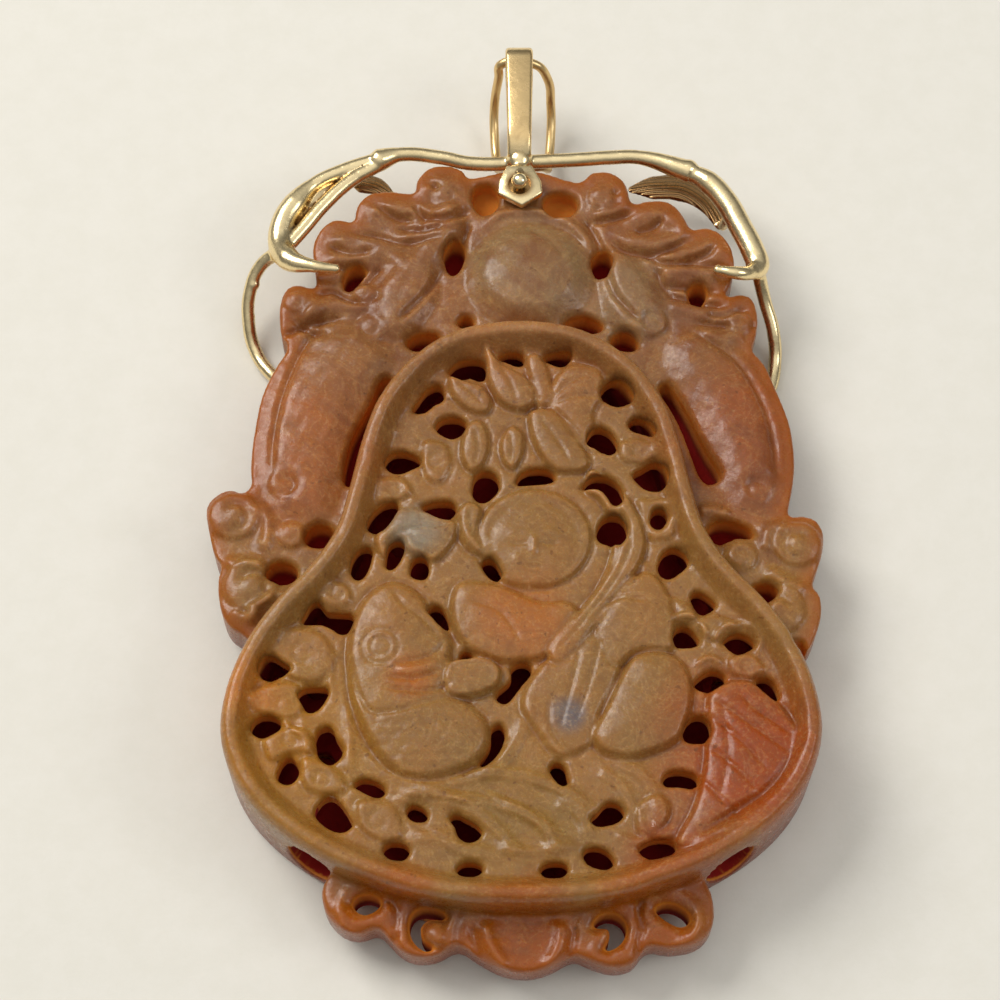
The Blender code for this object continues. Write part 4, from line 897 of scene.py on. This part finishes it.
# %% Wires of the mount
ARM, BRANCH, WIRE, TIP, LEAF = 1.08, 0.66, 0.6, 0.42, 1.3
TOP, UPPER, SIDE, LOWER, REAR = 6.5, 5.1, 3.7, 2.3, 0.9
CLAW, RISING = 8.3, 7.4
LEAF_THICKNESS = 0.9
LEAF_PIXELS = [[(350, 180, 0.35), (362, 183, 1.05), (378, 187, 0.9), (394, 196, 0.3)],
               [(628, 190, 0.3), (652, 188, 1.2), (682, 189, 1.35), (706, 203, 1.0), (722, 228, 0.5)]]
LEAVES = [[(*seen_at(u, v, SIDE), SIDE, radius) for u, v, radius in leaf] for leaf in LEAF_PIXELS]
FRONT_WIRES = [
    [(-12.5, 33.6, TOP, ARM), (-10.6, 34.2, TOP, BRANCH), (-6.9, 33.9, TOP, BRANCH),
     (-4.2, 33.3, TOP, BRANCH), (2.1, 33.5, TOP, BRANCH), (5.7, 33.7, TOP, BRANCH),
     (8.4, 33.9, TOP, BRANCH), (11.1, 33.9, TOP, BRANCH), (15.6, 32.4, TOP, ARM)],
    [(-12.3, 33.8, TOP, BRANCH), (-15.8, 32.5, TOP, BRANCH), (-18.3, 31.1, TOP, BRANCH),
     (-19.9, 29.2, TOP, ARM), (-20.9, 27.3, TOP, ARM), (-21.1, 25.1, TOP, ARM),
     (-20.2, 23.2, RISING, ARM), (-18.1, 22.1, CLAW, WIRE), (-16.0, 21.8, CLAW, TIP)],
    [(-12.3, 33.3, TOP, BRANCH), (-15.0, 31.5, TOP, BRANCH), (-17.3, 29.1, TOP, BRANCH),
     (-19.0, 26.8, TOP, BRANCH), (-20.4, 25.0, TOP, BRANCH)],
    [(-13.4, 33.3, 5.9, 0.5), (-15.7, 31.9, 5.6, 0.7), (-18.0, 30.1, 5.5, 0.85), (-19.5, 28.0, 5.5, 0.9),
     (-20.7, 25.6, 5.8, 0.9)],
    [(15.0, 32.7, TOP, BRANCH), (17.1, 31.4, TOP, ARM), (18.7, 29.4, TOP, ARM),
     (19.9, 26.9, TOP, ARM), (20.9, 24.6, TOP, ARM), (21.3, 23.0, TOP, ARM),
     (20.6, 21.9, RISING, BRANCH), (19.2, 21.4, CLAW, WIRE), (17.6, 21.7, CLAW, TIP)]]
REAR_WIRES = [
    [(-20.9, 24.6, TOP, BRANCH), (-22.9, 23.7, UPPER, WIRE), (-23.9, 21.9, SIDE, WIRE),
     (-24.1, 19.8, LOWER, WIRE), (-23.5, 17.3, REAR, WIRE), (-21.9, 14.9, REAR, WIRE),
     (-19.2, 12.6, REAR, TIP)],
    [(21.2, 23.4, TOP, BRANCH), (22.1, 21.0, SIDE, WIRE), (22.9, 18.6, LOWER, WIRE),
     (23.1, 16.2, REAR, WIRE), (22.4, 13.2, REAR, WIRE), (20.6, 10.6, REAR, TIP)]]
STALK = [(MIDDLE_X, y, z, BRANCH) for y, z in ((31.3, 7.6), (32.4, 7.2), (33.4, 6.8))]
KNOT = (MIDDLE_X, 33.4, 6.8, 1.2)
LUMPS = [(-12.4, 33.6, 6.6, 0.95), (15.4, 32.6, 6.6, 0.95), (-20.6, 24.2, 6.7, 0.95),
         (21.2, 23.2, 6.6, 0.9), (-23.6, 22.4, 4.1, 0.62), (-24.1, 20.0, 2.4, 0.62),
         (-16.0, 21.8, CLAW, 0.45), (17.6, 21.7, CLAW, 0.45)]
STEMS = [[(-15.0, 33.0, SIDE, TIP), (-15.0, 32.9, UPPER, WIRE), (-15.1, 32.8, TOP, WIRE)],
         [(18.5, 28.3, SIDE, TIP), (18.9, 28.3, UPPER, WIRE), (19.3, 28.2, TOP, WIRE)]]


def wire(name, places, closed=False):
    """A round wire through places and radii in millimetres, as a closed mesh."""
    bpy.ops.object.select_all(action="DESELECT")
    bpy.ops.curve.primitive_bezier_curve_add()
    obj = bpy.context.object
    obj.name = name
    spline = obj.data.splines[0]
    spline.bezier_points.add(len(places) - 2)
    for point, (x, y, z, radius) in zip(spline.bezier_points, places):
        point.co = drawn(x, y, z)
        point.radius = radius
        point.handle_left_type = point.handle_right_type = "AUTO"
    spline.use_cyclic_u = closed
    obj.data.dimensions = "3D"
    obj.data.bevel_depth = MM
    obj.data.bevel_resolution = 6
    obj.data.resolution_u = 10
    obj.data.use_fill_caps = not closed
    bpy.ops.object.convert(target="MESH")
    return place_in_mesh(bpy.context.object)


def ball(name, x, y, z, radius):
    bpy.ops.mesh.primitive_uv_sphere_add(segments=40, ring_count=24, radius=radius * MM,
                                         location=drawn(x, y, z))
    bpy.context.object.name = name
    return place_in_mesh(bpy.context.object)


strands = [wire("strand", places) for places in FRONT_WIRES + REAR_WIRES + STEMS + [STALK]]
for places in LEAVES:
    leaf = wire("leaf", places)
    spots = places_of(leaf)
    line = curve_through([place[:3] for place in places], 12)
    nearest = np.argmin(((spots[:, None, :2] - line[None, :, :2]) ** 2).sum(axis=2), axis=1)
    spots[:, 2] = line[nearest, 2] + (spots[:, 2] - line[nearest, 2]) * LEAF_THICKNESS / (2 * LEAF)
    leaf.data.vertices.foreach_set("co", (spots * MM + np.array(MOVED)).ravel())
    strands.append(leaf)
strands.append(ball("knot", *KNOT))
strands += [ball("lump", *lump) for lump in LUMPS]
mount = strands[0]
only(mount)
for strand in strands:
    strand.select_set(True)
bpy.ops.object.join()
mount.name = "gold_mount"
melt(mount, 0.13, 4)
apply_modifier(mount, "DECIMATE", ratio=0.6)
print("mount wires have", len(mount.data.polygons), "faces")

# %% [markdown]
# The bar of the bail is flat in front with a bevel round it. It tapers down to the knot, and it is
# rolled at the top into a knuckle with a bore for the loop. The plate under it holds the bead.

# %% The bar and the plate
BAR_BOTTOM, BAR_TOP_Y, KNUCKLE, BORE = 33.3, 43.1, 1.5, 0.72
BAR_FRONT, BAR_BACK, HINGE_HEIGHT = 8.8, 7.5, 7.3
BAR_HALF, BAR_HALF_BELOW = 1.25, 1.06
rolled = [(BAR_TOP_Y + KNUCKLE * math.sin(a), HINGE_HEIGHT + KNUCKLE * math.cos(a))
          for a in np.linspace(0, 1.42 * math.pi, 18)]
profile = [(BAR_BOTTOM, 7.0), (BAR_BOTTOM, 7.7), (34.6, 8.65), (36.0, BAR_FRONT), *rolled, (40.9, BAR_BACK),
           (36.0, BAR_BACK)]
bar = swept([drawn(MIDDLE_X - BAR_HALF, y, z) for y, z in profile], (2 * BAR_HALF * MM, 0, 0))
bar.name = "bar"
middle = drawn(MIDDLE_X, 0).x
for vertex in bar.data.vertices:
    down = ease((BAR_TOP_Y - (vertex.co.y - MOVED.y) / MM) / (BAR_TOP_Y - BAR_BOTTOM))
    vertex.co.x = middle + (vertex.co.x - middle) * (1 + (BAR_HALF_BELOW / BAR_HALF - 1) * down)
round_edges(bar, 0.32, 4, 50)
bpy.ops.mesh.primitive_cylinder_add(vertices=48, radius=BORE * MM, depth=8 * MM,
                                    location=drawn(MIDDLE_X, BAR_TOP_Y, HINGE_HEIGHT),
                                    rotation=(0, math.pi / 2, 0))
boolean(bar, "DIFFERENCE", [place_in_mesh(bpy.context.object)])

PLATE_SHARE, PLATE_Y = 1.85, 30.4
PLATE_BACK, PLATE_FRONT, SEAT_FLOOR, SEAT_RADIUS, SEAT_CUT = 7.2, 8.0, 7.55, 1.02, 4
PLATE = [(-0.6, 1.05), (0.6, 1.05), (1.05, 0.2), (1.12, -0.45), (0.12, -1.15), (-1.05, -0.5), (-1.0, 0.2)]
plate = slab([(MIDDLE_X + PLATE_SHARE * x, PLATE_Y + PLATE_SHARE * y) for x, y in reversed(PLATE)],
             PLATE_BACK, PLATE_FRONT, 0.2)
plate.name = "plate"
bpy.ops.mesh.primitive_cylinder_add(vertices=64, radius=SEAT_RADIUS * MM, depth=SEAT_CUT * MM,
                                    location=drawn(MIDDLE_X, PLATE_Y, SEAT_FLOOR + SEAT_CUT / 2))
boolean(plate, "DIFFERENCE", [place_in_mesh(bpy.context.object)])
only(mount)
bar.select_set(True)
plate.select_set(True)
bpy.ops.object.join()
bpy.ops.object.shade_smooth_by_angle(angle=math.radians(38))
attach(mount, "pendant")
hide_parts("gold_frame")

# %% The bead and the loop
BEAD_HEIGHT, BEAD_RADIUS = 8.57, 0.72
bead = ball("bead", MIDDLE_X, PLATE_Y, BEAD_HEIGHT, BEAD_RADIUS)
bpy.ops.object.shade_smooth()
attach(bead, "pendant")
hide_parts("bezel_bead")
LOOP_WIDE, LOOP_LONG, LOOP_DEEP, LOOP_RADIUS, LOOP_MIDDLE = 2.6, 9.7, 6.0, 0.42, 0.55
LOOP_HALF = [(0.85, 0.05, 0.26), (1, 0.18, 0.75), (1, 0.42, 1), (0.88, 0.74, 0.97), (0.6, 0.95, 0.42)]


def on_loop(share, down, back):
    return (LOOP_MIDDLE + share * LOOP_WIDE, BAR_TOP_Y - down * LOOP_LONG,
            HINGE_HEIGHT - back * LOOP_DEEP, LOOP_RADIUS)


loop = wire("loop", [(x, BAR_TOP_Y, HINGE_HEIGHT, LOOP_RADIUS) for x in (-1.4, 1.6)]
            + [on_loop(*place) for place in LOOP_HALF]
            + [on_loop(-share, down, back) for share, down, back in reversed(LOOP_HALF)], True)
bpy.ops.object.shade_smooth()
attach(loop, "loop")
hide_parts("bail_loop")

# %% [markdown]
# Values kept on the meshes guide the finish: how hollow or proud a spot is, for painted shade in the
# hollows and a painted highlight on proud spots, and how far across a leaf it lies, for the fine lines
# of the leaf.

# %% Hollows and proud edges
def hollowness(obj, rounds):
    """How far each point lies below its neighbours, evened out, as an angle."""
    count = len(obj.data.vertices)
    spots = places_of(obj)
    normals = np.empty(count * 3)
    obj.data.vertices.foreach_get("normal", normals)
    normals = normals.reshape(-1, 3)
    pairs = np.empty(len(obj.data.edges) * 2, int)
    obj.data.edges.foreach_get("vertices", pairs)
    a, b = pairs.reshape(-1, 2).T
    step = spots[b] - spots[a]
    size = np.linalg.norm(step, axis=1) + 1e-9
    total, number = np.zeros(count), np.zeros(count)
    np.add.at(total, a, (step * normals[a]).sum(axis=1) / size)
    np.add.at(total, b, -(step * normals[b]).sum(axis=1) / size)
    np.add.at(number, a, 1)
    np.add.at(number, b, 1)
    value = total / np.maximum(number, 1)
    for _ in range(rounds):
        gathered = np.zeros(count)
        np.add.at(gathered, a, value[b])
        np.add.at(gathered, b, value[a])
        value = 0.4 * value + 0.6 * gathered / np.maximum(number, 1)
    return value


for piece, rounds in ((jade, 3), (mount, 3), (loop, 1), (bead, 1)):
    kept_value = hollowness(piece, rounds)
    keep(piece, "hollow", kept_value)
    print(piece.name, "hollowness runs from", [round(v, 3) for v in np.percentile(kept_value, [2, 50, 98])])
spots = places_of(mount)
leaf_share, leaf_across = np.zeros(len(spots)), np.zeros(len(spots))
LEAF_REACH, LEAF_DEPTH, LEAF_FOOT = 1.35, 0.8, 4
for places in LEAVES:
    line = curve_through([place[:3] for place in places], 12)
    apart = spots[:, None, :] - line[None, :, :]
    nearest = np.argmin((apart[:, :, :2] ** 2).sum(axis=2), axis=1)
    along = np.gradient(line, axis=0)
    along /= np.linalg.norm(along[:, :2], axis=1, keepdims=True)
    offset = spots - line[nearest]
    across = offset[:, 0] * along[nearest, 1] - offset[:, 1] * along[nearest, 0]
    close = (np.abs(across) < LEAF_REACH) & (np.abs(offset[:, 2]) < LEAF_DEPTH)
    close &= (nearest > 0) & (nearest < len(line) - LEAF_FOOT)
    leaf_share[close] = 1.0
    leaf_across[close] = across[close]
keep(mount, "leaf", leaf_share)
keep(mount, "across", leaf_across)

# %% [markdown]
# Each finish is built from nodes. Colours are written as they show on a screen.

# %% Tools for the finishes
def tone(red, green, blue):
    """A screen colour from 0 to 255 as the linear colour that a node takes."""
    return tuple((v / 255 / 12.92) if v < 10 else ((v / 255 + 0.055) / 1.055) ** 2.4
                 for v in (red, green, blue)) + (1.0,)


class Finish:
    """A material whose nodes are added one at a time."""

    def __init__(self, name, constants):
        self.material = bpy.data.materials.new(name)
        self.material.use_nodes = True
        self.nodes, self.links = self.material.node_tree.nodes, self.material.node_tree.links
        self.shader = self.nodes["Principled BSDF"]
        for socket, value in constants.items():
            self.shader.inputs[socket].default_value = value
        self.place = self.nodes.new("ShaderNodeTexCoord").outputs["Object"]
        self.flat = self.node("VectorMath", 0, {0: self.place, 1: (1, 1, 0)}, operation="MULTIPLY")
        self.wobble = self.maths("SUBTRACT", self.noise(5.0, 2.0), 0.5)

    def node(self, kind, output, inputs, **settings):
        made = self.nodes.new("ShaderNode" + kind)
        for key, value in settings.items():
            setattr(made, key, value)
        for key, value in inputs.items():
            if isinstance(value, bpy.types.NodeSocket):
                self.links.new(value, made.inputs[key])
            else:
                made.inputs[key].default_value = value
        return made.outputs[output]

    def kept(self, name):
        return self.node("Attribute", "Fac", {}, attribute_name=name)

    def maths(self, operation, *values):
        return self.node("Math", 0, dict(enumerate(values)), operation=operation)

    def noise(self, size, detail=3.0, roughness=0.5, twist=0.0):
        """Cloudy values from 0 to 1 whose patches are about size millimetres wide."""
        return self.node("TexNoise", "Fac", {
            "Vector": self.place, "Scale": 1 / (size * MM), "Detail": detail, "Roughness": roughness,
            "Distortion": twist})

    def between(self, value, low, high):
        """Rises softly from 0 to 1 while the value goes from low to high."""
        return self.node("MapRange", 0, {"Value": value, "From Min": low, "From Max": high},
                         interpolation_type="SMOOTHSTEP")

    def near(self, x, y, inner, outer):
        """One round a place of the drawing, fading to nothing, in millimetres."""
        away = self.node("VectorMath", "Value", {0: self.flat, 1: tuple(drawn(x, y))}, operation="DISTANCE")
        wavy = self.node("Math", 0, {0: self.wobble, 1: 0.5 * outer * MM, 2: away}, operation="MULTIPLY_ADD")
        return self.between(wavy, outer * MM, inner * MM)

    def mix(self, share, under, over, blend="MIX"):
        return self.node("Mix", 2, {0: share, 6: under, 7: over}, data_type="RGBA", blend_type=blend)

    def cover(self, under, share, strength, shade):
        """Lays a screen colour over what is there, by a share and a strength."""
        return self.mix(self.maths("MULTIPLY", share, strength), under, tone(*shade))

    def thread(self, size, level, twist):
        """Thin winding lines, where a cloudy value crosses a level."""
        away = self.maths("ABSOLUTE", self.maths("SUBTRACT", self.noise(size, 3.0, 0.6, twist), level))
        return self.between(away, 0.03, 0.0)

    def bump(self, height, depth, strength=1.0, after=None):
        inputs = {"Height": height, "Distance": depth * MM, "Strength": strength}
        if after is not None:
            inputs["Normal"] = after
        return self.node("Bump", 0, inputs)

    def set(self, socket, value):
        self.links.new(value, self.shader.inputs[socket])


def wear(obj, material):
    """Gives the object this material alone."""
    obj.data.materials.clear()
    obj.data.materials.append(material)


# %% [markdown]
# The stone is russet jade. The worn panel is tan, the top is mauve brown, the lower right is red, the
# lower left yellow, and a grey stain crosses the dress. Thin edges get a painted orange glow, grooves
# and hollows are painted a darker orange brown as shade, and proud spots get a painted highlight.

# %% The finish of the jade
PAINT_LEVEL = 8.8
PANEL_TAN, TOP_MAUVE = (150, 121, 80), (142, 104, 74)
ZONES = [
    (300, 745, 2, 12, (160, 126, 62)), (755, 755, 3, 11, (154, 80, 26)), (680, 860, 2, 6, (152, 92, 50)),
    (510, 815, 3, 9, (146, 122, 76)), (380, 925, 3, 6.5, (158, 94, 16)), (520, 955, 4, 8, (158, 92, 14)),
    (645, 930, 3, 6.5, (158, 94, 18)), (630, 290, 2, 6, (146, 126, 110)), (528, 265, 4, 7, (144, 126, 108)),
    (290, 440, 3, 12, (158, 106, 64)), (760, 430, 3, 12, (150, 94, 56)), (415, 530, 1, 3.2, (146, 144, 150)),
    (570, 715, 0.6, 2.2, (112, 112, 140)), (410, 678, 0.5, 3, (166, 112, 58)),
    # The round at (246, 690) is painted light: it lightens the left rim, which lies in shade.
    (520, 620, 2, 6, (164, 116, 66)), (246, 690, 1, 4, (178, 128, 62)), (500, 330, 1, 7, (158, 124, 92)),
]
stone = Finish("honey jade", {"Subsurface Weight": 0.3, "Subsurface Radius": (1.0, 0.38, 0.14),
                              "Subsurface Scale": 1.3 * MM, "IOR": 1.5, "Specular IOR Level": 0.4})
place_y = stone.node("SeparateXYZ", 1, {0: stone.place})
up_the_stone = stone.between(place_y, drawn(0, -2).y, drawn(0, 22).y)
colour = stone.mix(up_the_stone, tone(*PANEL_TAN), tone(*TOP_MAUVE))
for u, v, inner, outer, shade in ZONES:
    colour = stone.mix(stone.near(*seen_at(u, v, PAINT_LEVEL), inner, outer), colour, tone(*shade))
grain = stone.between(stone.noise(0.65, 3.0, 0.75, 0.2), 0.25, 0.75)
patches = stone.between(stone.noise(7.0, 2.0, 0.6, 0.4), 0.35, 0.7)
for share, tint in ((patches, (1.12, 1.02, 0.92, 1)),
                    (stone.maths("MULTIPLY", grain, 0.55), (0.62, 0.55, 0.48, 1))):
    colour = stone.mix(share, colour, stone.mix(1.0, colour, tint, "MULTIPLY"))
dust = stone.between(stone.noise(0.28, 1.0, 0.7), 0.56, 0.72)
freckles = stone.between(stone.noise(0.55, 1.0, 0.5), 0.70, 0.76)
outer_clouds = stone.maths("MULTIPLY", stone.between(stone.noise(4.5, 2.0, 0.6, 0.6), 0.45, 0.7),
                           stone.kept("outer"))
hollow, depth_in = stone.kept("hollow"), stone.kept("depth")
# The last two layers are painted light: painted shade darkens the hollows, and a painted highlight lightens
# proud spots.
for share, strength, shade in (
        (dust, 0.1, (240, 220, 190)), (stone.thread(3.2, 0.5, 1.2), 0.09, (232, 206, 168)),
        (stone.thread(6.5, 0.47, 0.8), 0.2, (110, 72, 40)), (freckles, 0.5, (92, 60, 34)),
        (outer_clouds, 0.6, (112, 66, 38)), (stone.between(hollow, 0.03, 0.18), 0.5, (120, 66, 26)),
        (stone.between(hollow, -0.03, -0.2), 0.3, (206, 168, 126))):
    colour = stone.cover(colour, share, strength, shade)
colour = stone.mix(1.0, colour, (1.0, 0.78, 0.46, 1), "MULTIPLY")
# Painted light and shade: a painted orange glow on thin edges, painted dark red shade low on the outer
# walls, painted amber light on the walls of the holes, and painted dark red shade deep in the hollow and the
# pockets.
for share, strength, shade in (
        (stone.kept("thin"), 0.7, (156, 80, 8)), (stone.kept("low"), 0.9, (120, 42, 6)),
        (stone.between(depth_in, 0.02, 0.3), 1.0, (196, 118, 38)),
        (stone.between(depth_in, 0.5, 0.85), 1.0, (140, 15, 8))):
    colour = stone.cover(colour, share, strength, shade)
stone.set("Base Color", colour)
gloss = stone.node("MapRange", 0, {"Value": grain, "To Min": 0.2, "To Max": 0.42})
stone.set("Roughness", stone.maths("MAXIMUM", gloss, stone.between(depth_in, 0.05, 0.5)))
fine = stone.bump(stone.noise(0.35, 2.0, 0.65), 0.022)
stone.set("Normal", stone.bump(stone.noise(1.9, 1.0, 0.5, 0.3), 0.08, 1.0, fine))
wear(jade, stone.material)

# %% [markdown]
# The gold is bright on proud spots and painted brown in the hollows as shade, with cloudy tarnish.
# The leaves are painted darker as shade, with fine lines along them, and the seat round the bead is
# painted darker as shade.

# %% The finish of the gold
def gold_finish(name, bright, dark, roughness, leaves=False):
    gold = Finish(name, {"Metallic": 1.0})
    hollow = gold.kept("hollow")
    # Painted shade: the colour turns dark brown in the hollows.
    colour = gold.mix(gold.between(hollow, 0.01, 0.13), bright, dark)
    if leaves:
        colour = gold.cover(colour, gold.near(MIDDLE_X, 39.0, 3.5, 6.0), 0.6, (226, 186, 122))
        # Painted shade: a darker round in the seat round the bead.
        colour = gold.cover(colour, gold.near(MIDDLE_X, PLATE_Y, 0.9, 1.5), 0.8, (150, 112, 64))
    tarnish = gold.between(gold.noise(2.6, 5.0, 0.65, 0.5), 0.5, 0.78)
    colour = gold.mix(gold.maths("MULTIPLY", tarnish, 0.35), colour, dark)
    rough = gold.node("MapRange", 0, {"Value": gold.noise(0.8, 4.0, 0.6), "To Min": roughness - 0.06,
                                      "To Max": roughness + 0.12})
    height = gold.noise(0.5, 4.0, 0.6)
    surface = gold.bump(height, 0.02)
    if leaves:
        leaf, across = gold.kept("leaf"), gold.kept("across")
        lines = gold.maths("SINE", gold.maths("MULTIPLY", across, 19.0))
        shaded = gold.maths("MULTIPLY", leaf, gold.between(lines, -1.0, 0.8))
        # Painted shade: the leaves are darker brown.
        colour = gold.cover(colour, leaf, 0.8, (128, 88, 48))
        colour = gold.cover(colour, shaded, 0.5, (190, 142, 86))
        surface = gold.bump(shaded, 0.06, 1.0, surface)
    gold.set("Base Color", colour)
    gold.set("Roughness", rough)
    gold.set("Normal", surface)
    return gold.material


wear(mount, gold_finish("gold with painted hollow shade", tone(246, 224, 174), tone(116, 78, 36), 0.23, True))
wear(loop, gold_finish("loop gold", tone(232, 200, 142), tone(120, 84, 44), 0.3))
wear(bead, gold_finish("bright bead", tone(250, 232, 186), tone(170, 130, 70), 0.16))

# %% [markdown]
# The pendant lies on pale paper under soft studio light from the upper left. The paper right under it
# is painted a deep red, a painted shadow tinted like light that goes through the stone.

# %% Paper, light and room
bpy.ops.mesh.primitive_plane_add(size=2.0, location=(0, 0, 0))
floor = bpy.context.object
floor.name = "paper"
paper = Finish("cream paper", {"Roughness": 0.9})
fibres = paper.between(paper.noise(3.0, 5.0, 0.7), 0.3, 0.7)
sheet = paper.mix(fibres, tone(233, 229, 218), tone(230, 226, 214))
# Painted shadow: a deep red patch on the paper under the pendant.
under = paper.maths("MAXIMUM", paper.near(MIDDLE_X, -13, 19, 22), paper.near(MIDDLE_X, -23, 12, 14))
paper.set("Base Color", paper.mix(under, sheet, tone(150, 24, 10)))
paper.set("Normal", paper.bump(paper.noise(0.5, 4.0, 0.6), 0.02))
wear(floor, paper.material)


def softbox(place, size, power, tint):
    bpy.ops.object.light_add(type="AREA", location=place)
    lamp = bpy.context.object
    lamp.data.size = size
    lamp.data.energy = power
    lamp.data.color = tint
    lamp.rotation_euler = (-lamp.location).to_track_quat("-Z", "Y").to_euler()


softbox((-0.42, 0.32, 0.56), 0.42, 4.0, (1.0, 0.985, 0.96))
softbox((0.42, -0.06, 0.36), 0.20, 0.45, (0.96, 0.98, 1.0))
HORIZON, OVERHEAD = 0.15, 1.0
room = bpy.data.worlds.new("room")
bpy.context.scene.world = room
room.use_nodes = True
sky = room.node_tree.nodes
direction = sky.new("ShaderNodeSeparateXYZ")
upward = sky.new("ShaderNodeMath")
brightness = sky.new("ShaderNodeMapRange")
upward.operation = "POWER"
upward.inputs[1].default_value = 3.0
brightness.inputs["To Min"].default_value, brightness.inputs["To Max"].default_value = HORIZON, OVERHEAD
for source, target in ((sky.new("ShaderNodeTexCoord").outputs["Generated"], direction.inputs[0]),
                       (direction.outputs["Z"], upward.inputs[0]),
                       (upward.outputs[0], brightness.inputs["Value"]),
                       (brightness.outputs[0], sky["Background"].inputs["Strength"])):
    room.node_tree.links.new(source, target)
sky["Background"].inputs["Color"].default_value = (1.0, 0.995, 0.985, 1)
bpy.context.scene.view_settings.view_transform = "Standard"
